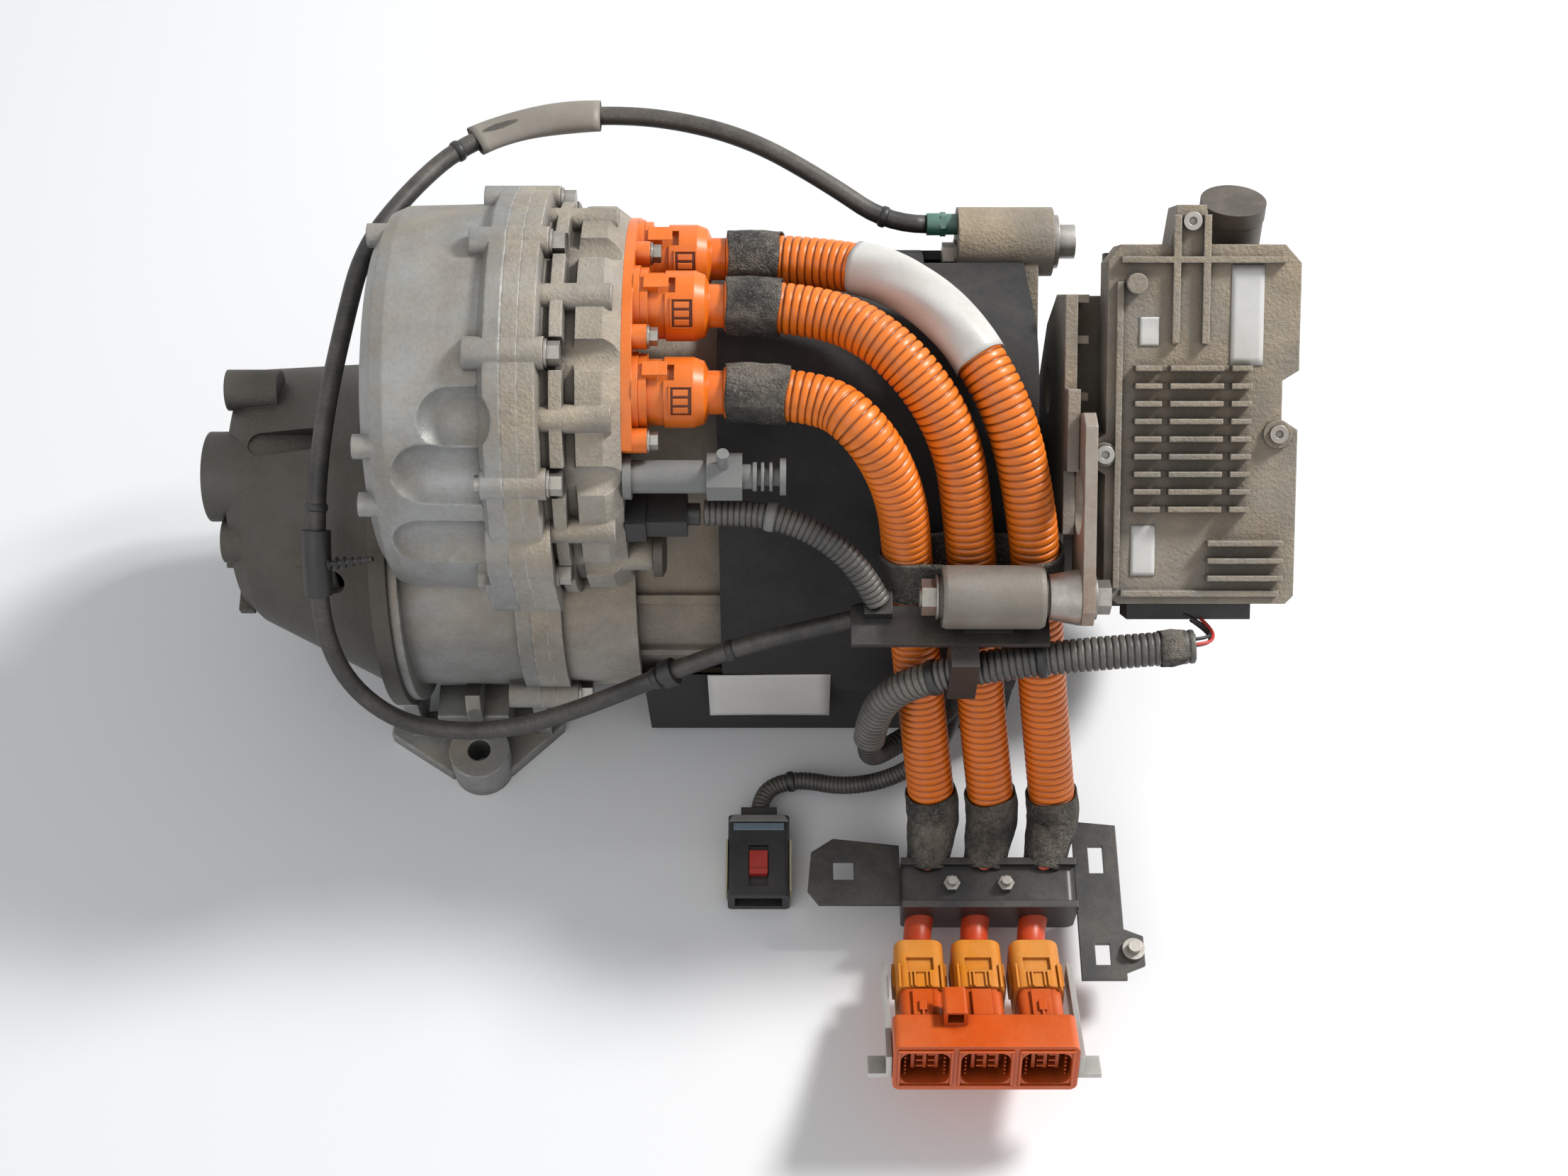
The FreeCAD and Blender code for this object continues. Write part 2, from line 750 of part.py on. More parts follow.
def make_rotor():
    start = S.stator_start
    end = S.stator_start + S.stator_length
    bore = S.rotor_shaft_radius
    node(ring(S.stator_bore - S.air_gap, bore + S.seat_gap, S.stator_length, (start, *MOTOR)),
         "rotor_core")
    first = S.left_joint + 8
    shaft = revolved([
        (first, 0), (first, S.journal_radius), (S.left_joint + 20, S.journal_radius),
        (S.left_joint + 20, 16), (start, 16), (start, bore), (end, bore), (end, 16),
        (S.cover_end - 20, 16), (S.cover_end - 20, S.journal_radius),
        (S.first_gear_start, S.journal_radius), (S.first_gear_start, 10),
        (S.first_gear_start + S.first_gear_width + 6, 10),
        (S.first_gear_start + S.first_gear_width + 6, 0),
    ], MOTOR)
    pinion = gear(S.motor_pinion_teeth, S.first_module, S.first_gear_start, S.first_gear_width,
                  MOTOR, mesh_angle(MOTOR, COUNTER))
    node(shaped(shaft.fuse(pinion)), "rotor_shaft")
    bearing = ring_profile(S.rotor_bearing_radius - S.seat_gap, S.journal_radius + S.running_gap)
    share("shaft_bearings", [bearing(S.left_joint + 7, MOTOR), bearing(S.cover_end - 19, MOTOR)])


def ring_profile(outer, inner):
    """A bearing with its grooves between the rings."""
    def at(station, centre):
        width = S.bearing_width
        third = (outer - inner) / 3
        return turned("bearing", [
            (0, inner), (width, inner), (width, inner + third), (width - 1, inner + third),
            (width - 1, outer - third), (width, outer - third), (width, outer), (0, outer),
            (0, outer - third), (1, outer - third), (1, inner + third), (0, inner + third),
        ], (station, *centre))
    return at


def mesh_angle(centre, other):
    return math.degrees(math.atan2(other[1] - centre[1], other[0] - centre[0]))


def involute(angle):
    return math.tan(angle) - angle


def gear(teeth, module, start, width, centre, tooth_angle):
    """A spur gear whose flanks are arcs through three involute points."""
    teeth = int(teeth)
    pitch = teeth * module / 2
    pressure = math.radians(S.pressure_angle)
    base = pitch * math.cos(pressure)
    tip = pitch + ADDENDUM * module
    root = pitch - DEDENDUM * module
    low = max(base, root) + 0.02
    half_at_pitch = math.pi / (2 * teeth) - S.backlash / (2 * pitch)

    def half_at(radius):
        return half_at_pitch + involute(pressure) - involute(math.acos(base / radius))

    def point(radius, angle):
        return Vector(start, centre[0] + radius * math.cos(angle),
                      centre[1] + radius * math.sin(angle))

    radii = (low, (low + tip) / 2, tip)
    step = 2 * math.pi / teeth
    edges = []
    for index in range(teeth):
        middle = math.radians(tooth_angle) + index * step
        rising = [point(r, middle - half_at(r)) for r in radii]
        falling = [point(r, middle + half_at(r)) for r in reversed(radii)]
        foot_half = half_at(low)
        foot_in = point(root, middle - foot_half)
        foot_out = point(root, middle + foot_half)
        next_foot = point(root, middle + step - foot_half)
        edges += [
            Part.LineSegment(foot_in, rising[0]), Part.Arc(*rising),
            Part.Arc(rising[2], point(tip, middle), falling[0]), Part.Arc(*falling),
            Part.LineSegment(falling[2], foot_out),
            Part.Arc(foot_out, point(root, middle + step / 2), next_foot),
        ]
    wire = Part.Wire([edge.toShape() for edge in edges])
    return Part.Face(wire).extrude(Vector(width, 0, 0))


def make_countershaft():
    bore = S.counter_journal_radius
    start = S.cover_end + 1
    end = S.casing_end - 5
    shaft = revolved([
        (start, 0), (start, bore), (S.first_gear_start - 4, bore), (S.first_gear_start - 4, bore + 4),
        (S.first_gear_start + S.first_gear_width, bore + 4),
        (S.first_gear_start + S.first_gear_width, bore + 1),
        (S.second_gear_start + S.second_gear_width, bore + 1),
        (S.second_gear_start + S.second_gear_width, bore + 2), (end - 15, bore + 2),
        (end - 15, bore), (end, bore), (end, 0),
    ], COUNTER)
    gap = 180 / S.counter_gear_teeth
    wheel = gear(S.counter_gear_teeth, S.first_module, S.first_gear_start, S.first_gear_width,
                 COUNTER, mesh_angle(COUNTER, MOTOR) + gap)
    pinion = gear(S.counter_pinion_teeth, S.second_module, S.second_gear_start,
                  S.second_gear_width, COUNTER, mesh_angle(COUNTER, AXLE))
    node(shaped(unite([shaft, pinion, wheel])), "countershaft")
    bearing = ring_profile(S.counter_bearing_radius - S.seat_gap, bore + S.running_gap)
    share("shaft_bearings", [
        bearing(S.cover_end + 0.5, COUNTER), bearing(S.casing_end - 17, COUNTER)])


def make_differential():
    gap = 180 / S.ring_gear_teeth
    start = S.second_gear_start
    wheel = gear(S.ring_gear_teeth, S.second_module, start, S.second_gear_width,
                 AXLE, mesh_angle(AXLE, COUNTER) + gap)
    seat = S.carrier_radius - 6
    wheel = wheel.cut(disc(seat + S.seat_gap, start, start + S.second_gear_width, AXLE))
    node(shaped(wheel), "ring_gear")
    through = S.output_radius + S.free_gap
    hub_start = S.cover_end + 1
    hub_end = S.casing_end + 8
    room = S.carrier_radius - 7
    carrier = revolved([
        (hub_start, through), (hub_start, S.hub_radius), (start - 4, S.hub_radius),
        (start, seat), (start + S.second_gear_width, seat),
        (start + S.second_gear_width, S.carrier_radius + 8), (S.carrier_start + 4, S.carrier_radius + 8),
        (S.carrier_start + 8, S.carrier_radius), (S.carrier_end - 4, S.carrier_radius),
        (S.carrier_end + 4, S.hub_radius + 4), (S.casing_end - 20, S.hub_radius + 4),
        (S.casing_end - 20, S.hub_radius), (hub_end, S.hub_radius), (hub_end, through),
        (S.carrier_end - 6, through), (S.carrier_end - 6, room),
        (S.carrier_start + 6, room), (S.carrier_start + 6, through),
    ], AXLE)
    middle = (S.carrier_start + S.carrier_end) / 2
    for side in (0, 180):
        window = Part.makeBox(34, 46, 60, Vector(middle - 17, -23, 10))
        window.rotate(Vector(0, 0, 0), X_AXIS, side)
        carrier = carrier.cut(window)
    for index in range(4):
        slot = Part.makeBox(S.dog_length + 1, 7, 30, Vector(hub_end - S.dog_length, -3.5, 10))
        slot.rotate(Vector(0, 0, 0), X_AXIS, index * 90)
        carrier = carrier.cut(slot)
    carrier = carrier.fuse(Part.makeCylinder(6, S.carrier_radius * 2 - 8,
                           Vector(middle, -S.carrier_radius + 4, 0), Vector(0, 1, 0)))
    node(shaped(carrier.removeSplitter()), "differential_carrier")
    bearing = ring_profile(S.hub_bearing_radius - S.seat_gap, S.hub_radius + S.running_gap)
    share("shaft_bearings", [bearing(S.cover_end + 0.5, AXLE), bearing(S.casing_end - 17, AXLE)])


def output_shaft(label, mouth, inner_end, direction):
    """A shaft with a splined socket at its outer end and a stop collar inside."""
    inner = direction * (inner_end - mouth)
    outer_half = [
        (0, S.spline_bore), (0, S.output_radius), (inner, S.output_radius), (inner, 0),
        (S.spline_depth, 0), (S.spline_depth, S.spline_bore),
    ]
    turn = LEVEL if direction > 0 else Rotation(Vector(0, 0, 1), 180)
    shaft = turned(label + "_body", outer_half, (mouth, *AXLE), turn)
    node(shaft, label)


def make_axle_parts():
    middle = (S.carrier_start + S.carrier_end) / 2
    output_shaft("left_output_shaft", S.running_gap, middle - 7, 1)
    output_shaft("right_output_shaft", S.right_mouth - S.running_gap, middle + 7, -1)
    bearing = ring_profile(S.output_bearing_radius - S.seat_gap, S.output_radius + S.running_gap)
    width = S.bearing_width
    share("shaft_bearings", [
        bearing(S.seal_width, AXLE), bearing(S.right_mouth - S.seal_width - width, AXLE)])
    lip_radius = S.output_radius + 2 * S.running_gap
    seal = [
        (0, S.seal_radius - S.seat_gap), (0, lip_radius + 3), (2, lip_radius), (4, lip_radius),
        (4, S.seal_radius - 3), (S.seal_width - 0.5, S.seal_radius - 3),
        (S.seal_width - 0.5, S.seal_radius - S.seat_gap),
    ]
    flipped = Rotation(Vector(0, 0, 1), 180)
    share("output_seals", [
        turned("left_seal", seal, (0.3, *AXLE)),
        turned("right_seal", seal, (S.right_mouth - 0.3, *AXLE), flipped),
    ])


def make_clutch():
    """Housing to the right of the gearbox, its sliding sleeve and the fork."""
    start, end, mouth = S.casing_end, S.clutch_end, S.right_mouth
    seat_start = mouth - S.seal_width - S.bearing_width
    housing = revolved([
        (start, S.clutch_radius), (start + 8, S.clutch_radius), (start + 10, S.clutch_radius - 4),
        (end - 12, S.clutch_radius - 6), (end, S.tube_radius + 4), (seat_start - 4, S.tube_radius - 4),
        (seat_start, S.tube_radius), (mouth, S.tube_radius), (mouth, S.seal_radius),
        (mouth - S.seal_width, S.seal_radius), (mouth - S.seal_width, S.output_bearing_radius),
        (seat_start, S.output_bearing_radius), (seat_start, S.output_radius + 3),
        (end - 6, S.output_radius + 3), (end - 6, S.clutch_radius - 14),
        (start, S.clutch_radius - 10),
    ], AXLE)
    for angle in range(0, 360, 60):
        rib = Part.makeBox(mouth - end + 4, 5, 16, Vector(end - 8, -2.5, S.tube_radius - 8))
        rib.rotate(Vector(0, 0, 0), X_AXIS, angle)
        housing = housing.fuse(rib)
    rod_way = actuator_place()
    housing = housing.fuse(disc(14, start + 16, end + 10, rod_way).cut(
        disc(S.clutch_radius - 10, start, end - 6, AXLE)))
    housing = housing.cut(disc(5 + S.running_gap, start + 10, mouth, rod_way))
    node(shaped(housing.removeSplitter()), "clutch_housing")

    face = S.casing_end + 8 + S.sleeve_gap
    bore = S.output_radius + S.running_gap
    sleeve = revolved([
        (face, bore), (face, S.hub_radius), (face + S.dog_length, S.hub_radius),
        (face + S.dog_length, S.sleeve_radius), (face + 7, S.sleeve_radius),
        (face + 7, S.sleeve_radius - 5), (face + 12, S.sleeve_radius - 5),
        (face + 12, S.sleeve_radius), (face + S.sleeve_width, S.sleeve_radius),
        (face + S.sleeve_width, bore),
    ], AXLE)
    collar = disc(S.sleeve_radius, face - 1, face + S.dog_length, AXLE)
    dogs = [Part.makeBox(S.dog_length, 6, S.hub_radius - bore, Vector(face, -3, bore - 0.2))
            for index in range(4)]
    for index, dog in enumerate(dogs):
        dog.rotate(Vector(0, 0, 0), X_AXIS, index * 90)
    sleeve = sleeve.cut(collar).fuse(dogs).removeSplitter()
    sleeve = sleeve.cut(disc(bore, face - 1, face + S.sleeve_width + 1, AXLE))
    node(shaped(sleeve), "clutch_sleeve")

    y, z = rod_way
    angle = math.degrees(math.atan2(z, y)) - 90
    reach = math.hypot(y, z)
    yoke = disc(S.sleeve_radius + 5, face + 7.5, face + 11.5, AXLE)
    yoke = yoke.cut(disc(S.sleeve_radius - 5 + S.free_gap, face + 7, face + 12, AXLE))
    yoke = yoke.cut(Part.makeBox(20, 90, 60, Vector(face, -45, -60)))
    stem = Part.makeBox(4, 12, reach - S.sleeve_radius, Vector(face + 7.5, -6, S.sleeve_radius))
    fork = yoke.fuse(stem)
    fork.rotate(Vector(0, 0, 0), X_AXIS, angle)
    fork = fork.fuse(disc(5, face + 2, S.clutch_end + 30, rod_way))
    node(shaped(fork.removeSplitter()), "shift_fork")


def actuator_place():
    return around(AXLE, S.clutch_radius - 18, 62)



# High-voltage header on the motor's end cover

def plug_place(index):
    angle = S.plug_middle_angle + (index - 1) * S.plug_pitch
    return around(MOTOR, S.plug_circle, angle)


def make_header_plate():
    start = S.cover_end
    end = start + S.header_thickness
    plate_ring = disc(S.header_outer, start, end, MOTOR).cut(
        disc(S.header_inner, start, end, MOTOR))
    low_angle = S.plug_middle_angle - 1.5 * S.plug_pitch + 2
    high_angle = S.plug_middle_angle + 1.5 * S.plug_pitch
    wedge = sector(start, end, S.header_outer + 20, low_angle, high_angle)
    shape = plate_ring.common(wedge)
    for spot in header_bolt_spots():
        shape = shape.fuse(disc(6, start, end + 7, spot))
        shape = shape.cut(disc(3.1, start, end + 7, spot))
    for index in range(3):
        spot = plug_place(index)
        shape = shape.fuse(disc(S.plug_radius + 2.5, end, end + 3, spot))
        shape = shape.cut(disc(S.plug_radius - 4, start, end + 3, spot))
    node(shaped(shape), "hv_header_plate")


def header_bolt_spots():
    return [
        around(MOTOR, S.header_outer - 6.5, S.plug_middle_angle + side * S.plug_pitch)
        for side in (-0.5, 0.5, 1.44)
    ]


def sector(start, end, radius, low_angle, high_angle):
    """A pie slice of a cylinder round the motor axis."""
    hub = Vector(start, *MOTOR)
    steps = [low_angle, (low_angle + high_angle) / 2, high_angle]
    rim = [Vector(start, *around(MOTOR, radius, angle)) for angle in steps]
    edges = [Part.LineSegment(hub, rim[0]), Part.Arc(*rim), Part.LineSegment(rim[2], hub)]
    wire = Part.Wire([edge.toShape() for edge in edges])
    return Part.Face(wire).extrude(Vector(end - start, 0, 0))


def make_header_bolts():
    start = S.cover_end + S.header_thickness + 7
    bolts = [
        joined([rod(3, 12, (start - 12, *spot)), rod(5.5, 1.2, (start, *spot)),
                nut(9, 4, (start + 1.2, *spot))])
        for spot in header_bolt_spots()
    ]
    share("casing_bolts", bolts)


def make_hv_plugs():
    """Orange cable plugs: flanged base, barrel, domed cap and neck."""
    radius = S.plug_radius
    length = S.plug_length
    for index in range(3):
        start = S.cover_end + S.header_thickness + 3
        barrel = turned(f"hv_plug_body_{index + 1}", [
            (0, 0), (0, radius + 1.5), (4, radius + 1.5), (4, radius - 1), (length * 0.3, radius - 1),
            (length * 0.3, radius), (length - 14, radius), (length - 9, radius - 2),
            (length - 7, S.conduit_radius - 2), (length, S.conduit_radius - 2), (length, 0),
        ], (start, *plug_place(index)))
        y, z = plug_place(index)
        window = block((8, 9, 6), (start + 9, y - 4.5, z + radius - 3.2))
        latch = block((12, 8, 4.5), (start + 2, y - 4, z + radius - 1.5))
        share("hv_plugs", [cut(joined([barrel, latch]), window)])


def make_cover_fittings():
    """Coolant pipe, resolver connector and port cap on the end cover."""
    start = S.cover_end
    spot = around(MOTOR, S.motor_radius - 15, 152)
    pipe = joined([
        rod(11, 4, (start, *spot)), rod(8, 40, (start, *spot)),
        nut(23, 17, (start + 40, *spot)), rod(6, 5, (start + 57, *spot)),
        rod(3, 14, (start + 48, spot[0], spot[1] + 6), LEVEL),
    ])
    bore = rod(5.5, 58, (start + 6, *spot))
    share("coolant_pipe", [cut(pipe, bore)])
    clip_start = start + 62
    clip = joined([
        rod(7, 2, (clip_start, *spot)), rod(4.5, 14, (clip_start, *spot)),
        rod(7, 1.5, (clip_start + 4, *spot)), rod(7, 1.5, (clip_start + 8, *spot)),
        rod(9, 3, (clip_start + 13, *spot)),
    ])
    share("coolant_pipe", [clip])
    y, z = around(MOTOR, S.motor_radius - 18, 170)
    plug = joined([
        block((10, 22, 16), (start, y - 11, z - 8)), block((20, 18, 13), (start + 10, y - 9, z - 6.5)),
        rod(5.5, 6, (start + 30, y, z)),
    ])
    node(plug, "resolver_connector")
    spot = port_place()
    cap = turned("port_cap_body", [
        (0, 5.9), (0, 0), (0.1, 0), (6, 0), (6, 9), (4.5, 12), (0, 12),
    ], (start + 12.3, *spot))
    stem = rod(5.9, 8, (start + 4.3, *spot))
    node(joined([cap, stem]), "port_cap")


# Cast lug with the vent fitting

def lug_shape(grow):
    start, end = LUG_START, LUG_END
    circles = [(COUNTER[0], COUNTER[1], 30), (LUG[0], LUG[1], 13 + grow)]
    web = hull_face(circles, start).extrude(Vector(LUG_END - 8 - start, 0, 0))
    return disc(18 + grow, start - grow, end, LUG).fuse(web)


def make_lug_parts():
    """Bolts at both ends of the lug and the vent's angled fitting."""
    start, end = LUG_START, LUG_END
    low = (LUG[0] - 5, LUG[1] - 6)
    left = joined([rod(9, 1.5, (start - 1.5, *low)), nut(15, 6, (start - 7.5, *low))])
    right = joined([rod(14, 3, (end, *LUG)), rod(9, 9, (end + 3, *LUG))])
    share("casing_bolts", [left, right])
    y, z = LUG[0] + 6, LUG[1] + 7
    node(joined([rod(5.5, 6, (start - 6, y, z)), nut(13, 3, (start - 9, y, z)),
                 rod(S.vent_radius + 1, 7, (start - 16, y, z))]), "vent_fitting")


# Cords: straight runs joined by tangent arcs

def cord_edges(route, label):
    points = [Vector(*point) for point in route]
    edges = []
    start = points[0]
    radii = []
    for before, corner, after in zip(points, points[1:], points[2:]):
        back = before - corner
        ahead = after - corner
        half_turn = (math.pi - back.getAngle(ahead)) / 2
        reach = 0.45 * min(back.Length, ahead.Length)
        radius = reach / math.tan(half_turn)
        back.normalize()
        ahead.normalize()
        inward = (back + ahead).normalize()
        enter = corner + back * reach
        leave = corner + ahead * reach
        middle = corner + inward * (radius / math.cos(half_turn) - radius)
        edges += [Part.LineSegment(start, enter), Part.Arc(enter, middle, leave)]
        radii.append(round(radius, 1))
        start = leave
    edges.append(Part.LineSegment(start, points[-1]))
    edges = [edge.toShape() for edge in edges]
    print(label, "length", round(sum(edge.Length for edge in edges), 1), "radii", radii)
    return edges


def swept(edges, radius):
    """A round tube along edges, checked against its section times its length."""
    start = edges[0].valueAt(edges[0].FirstParameter)
    heading = edges[0].tangentAt(edges[0].FirstParameter)
    profile = Part.Wire([Part.Circle(start, heading, radius).toShape()])
    tube = Part.Wire(edges).makePipeShell([profile], True, False)
    expected = math.pi * radius ** 2 * sum(edge.Length for edge in edges)
    if abs(tube.Volume - expected) > 0.01 * expected:
        raise SystemExit(f"tube volume {tube.Volume} is not {expected}")
    return tube


def cord(label, route, radius):
    edges = cord_edges(route, label)
    node(shaped(swept(edges, radius)), label)
    return edges


def wrap(edges, inner, outer):
    """A close sleeve round part of a cord."""
    return swept(edges, outer).cut(swept(edges, inner))


PLUG_END = S.cover_end + S.header_thickness + 3 + S.plug_length
HARNESS_ROUTES = [
    [(366, 27, 182), (405, -32, 174), (422, -67, 117), (429, -96, 56), (437, -123, -2),
     (445, -152, -53)],
    [(352, -14, 186), (382, -46, 160), (391, -69, 108), (397, -96, 56), (404, -123, -2),
     (412, -152, -53)],
    [(338, -52, 172), (356, -66, 138), (361, -80, 92), (366, -99, 48), (373, -124, -4),
     (380, -152, -53)],
]
INLET = (400.5, -225.8, -72.5)


def inlet_point(x, out):
    """A point on a cable's axis, this far out of the connector's back."""
    lean = math.radians(S.connector_tilt)
    return x, INLET[1] + out * math.cos(lean), INLET[2] - out * math.sin(lean)


CABLE_ROUTES = [
    [(445, -152, -53), (437, -186, -74.5), inlet_point(431, 13), inlet_point(431, -11)],
    [(412, -152, -53), (405, -186, -74.5), inlet_point(400.5, 13), inlet_point(400.5, -11)],
    [(380, -152, -53), (375, -186, -74.5), inlet_point(370, 13), inlet_point(370, -11)],
]


def make_harness():
    cuffs, low_cuffs, tubes = [], [], []
    for index, (route, cable) in enumerate(zip(HARNESS_ROUTES, CABLE_ROUTES), start=1):
        spot = plug_place(index - 1)
        head = [(PLUG_END, *spot), (PLUG_END + 44, *spot)]
        edges = cord(f"hv_conduit_{index}", head + route, S.conduit_radius)
        tubes.append(edges)
        cuffs.append(wrap(edges[:1], S.conduit_radius, S.conduit_radius + S.cuff_wall))
        stub = cord_edges(cable, f"cable {index}")
        conduit = swept(edges, S.conduit_radius)
        share("hv_cable_stubs", [shaped(swept(stub, S.cable_radius).cut(conduit))])
        start = edges[-1].valueAt(edges[-1].LastParameter)
        heading = Vector(*cable[1]) - Vector(*cable[0])
        low = Part.makeCone(S.conduit_radius + 1, S.cable_radius + 3, 20, start, heading)
        low_cuffs.append(low.cut(swept(stub, S.cable_radius)).cut(conduit))
    share("tape_cuffs", [shaped(cuff) for cuff in cuffs + low_cuffs])
    sleeve = wrap(tubes[0][3:6], S.conduit_radius, S.conduit_radius + 0.9)
    share("blank_sleeves", [shaped(sleeve)])
    make_band(tubes)


def make_band(tubes):
    """Felt band wrapped round all three conduits."""
    felt = 1.5
    width = 13
    across = (Vector(*HARNESS_ROUTES[0][2]) - Vector(*HARNESS_ROUTES[2][1])).normalize()
    heading = Vector(*HARNESS_ROUTES[0][3]) - Vector(*HARNESS_ROUTES[0][2])
    heading = (heading - across * heading.dot(across)).normalize()
    normal = heading.cross(across)
    first = Vector(361, -72.5, 114)
    last = Vector(422, -67, 112)
    ends = [
        Part.makeCylinder(S.conduit_radius + felt, width, point, heading)
        for point in (first, last)
    ]
    middle = Part.makeBox((last - first).Length, 2 * (S.conduit_radius + felt), width)
    turn = Rotation(across, normal, heading, "ZXY")
    middle.Placement = Placement(first - normal * (S.conduit_radius + felt), turn)
    band = unite(ends + [middle])
    for edges in tubes:
        band = band.cut(swept(edges[6:12], S.conduit_radius))
    node(shaped(band), "conduit_felt_band")


VENT_ROUTE = [
    (374, 104, 133), (354, 104, 133), (322, 122, 145), (282, 142, 156), (240, 152, 161),
    (200, 154, 162), (162, 150, 160), (130, 134, 160), (106, 104, 160), (85, 68, 157),
    (76, 32, 141), (68, -4, 124), (63, -40, 104), (62, -72, 80), (62, -94, 50),
    (70, -108, 18), (92, -118, -6), (122, -122, -12), (156, -124, -4), (188, -122, 12),
    (222, -118, 32), (258, -112, 52), (294, -106, 64), (328, -101, 70), (346, -98, 74),
]
WIRE_ROUTE = [
    (344, -130, -4), (345, -128, 24), (358, -126, 49), (388, -125, 64), (426, -123, 72),
    (464, -122, 78), (502, -120, 80),
]
BRANCH_ROUTE = [
    (392, -101.5, 4), (392, -102, -26), (385, -110, -54), (362, -119, -76), (333, -120, -87),
    (309, -113, -91), (292, -117, -91), (285, -127.5, -91), (285, -139, -91),
]
SENSOR_ROUTE = [
    (260, -70.3, 125.6), (276, -70.5, 125.8), (298, -74, 127), (322, -83, 120), (338, -94, 107),
    (345.5, -102.5, 94),
]


def make_hoses():
    cord("sensor_conduit", SENSOR_ROUTE, S.sensor_radius)
    vent = cord("vent_hose", VENT_ROUTE, S.vent_radius)
    share("blank_sleeves", [shaped(wrap(vent[9:14], S.vent_radius, S.vent_radius + 5))])
    wire = cord("wire_conduit", WIRE_ROUTE, S.wire_conduit_radius)
    tape = wrap(wire[-2:], S.wire_conduit_radius, S.wire_conduit_radius + 0.9)
    share("tape_cuffs", [shaped(tape)])
    cord("wire_branch", BRANCH_ROUTE, S.branch_radius)
    clips = [
        wrap(vent[index:index + 1], S.vent_radius, S.vent_radius + 2.5) for index in (25, 40, 46)
    ]
    clips.append(wrap(cord_edges(BRANCH_ROUTE, "clip")[:1], S.branch_radius, 7))
    node(shaped(Part.makeCompound(clips)), "vent_hose_clips")


# Bush, slotted plate and brackets

def make_bush():
    spot = (S.bush_back, S.bush_up)
    start = S.bush_start
    radius = S.bush_radius
    bolt_way = S.bush_bolt_radius + S.running_gap
    length = S.bush_length
    node(turned("bush_body", [
        (0, bolt_way), (0, 10), (2, 10), (2, radius - 1), (4, radius), (length - 4, radius),
        (length - 2, radius - 1), (length - 2, 10), (length, 10), (length, bolt_way),
    ], (start, *spot)), "harness_bush")
    spacer_start = start + length
    spacer = cone(11, 14, SPACER_LENGTH, (spacer_start, *spot))
    share("bush_bolt_and_spacer", [cut(spacer, rod(bolt_way, SPACER_LENGTH, (spacer_start, *spot)))])
    plate_start = spacer_start + SPACER_LENGTH
    head_start = plate_start + S.plate_thickness
    bolt_length = length + SPACER_LENGTH + S.plate_thickness + 9
    share("bush_bolt_and_spacer", [joined([
        rod(S.bush_bolt_radius, bolt_length, (start - 9, *spot)), nut(18, 7, (start - 8, *spot)),
        rod(11, 1, (start - 1, *spot)), rod(11, 2, (head_start, *spot)),
        nut(17, 7, (head_start + 2, *spot)),
    ])])
    node(make_slotted_plate(plate_start, bolt_way), "slotted_plate")
    bar_top = S.bush_up - radius - 1.5
    bar_piece = Part.makeBox(98, 22, 3, Vector(start - 42, S.bush_back - 17, bar_top - 3))
    saddle = Part.makeBox(24, 20, 8, Vector(start + 14, S.bush_back - 10, bar_top - 2))
    strap = Part.makeBox(14, 2 * S.wire_conduit_radius + 4, bar_top - 54,
                         Vector(381, -125 - S.wire_conduit_radius - 2, 53))
    seat = Part.makeBox(14, 13, 8, Vector(338.5, -109.5, bar_top - 2))
    shape = unite([bar_piece, saddle, strap, seat])
    shape = shape.cut(swept(cord_edges(SENSOR_ROUTE, "in the seat"), S.sensor_radius))
    shape = shape.cut(disc(radius + 0.3, start, start + length, spot))
    shape = shape.cut(swept(cord_edges(WIRE_ROUTE, "in the strap"), S.wire_conduit_radius))
    node(shaped(shape), "harness_bar")


def make_slotted_plate(start, bolt_way):
    """Steel plate square to the axle, with the bush at its lower end and an eye above."""
    tilt = Rotation(X_AXIS, S.unit_tilt)
    upright = tilt.multiply(Rotation(Vector(1, 1, 1), 120))
    outline = [(-13, -14), (6, -26), (78, -34), (88, -26), (90, 6), (84, 15), (-6, 15), (-13, 9)]
    body = plate("slotted_plate_body", [outline], S.plate_thickness,
                 (start, S.bush_back, S.bush_up), upright)
    eye = Vector(start - 2, S.bush_back, S.bush_up) + tilt.multVec(Vector(0, 46, -7))
    way = rod(bolt_way, 20, (start - 2, S.bush_back, S.bush_up))
    return cut(body, joined([way, rod(16, 20, eye)]))


SHELF = 6.0
SPACER_LENGTH = 15.0


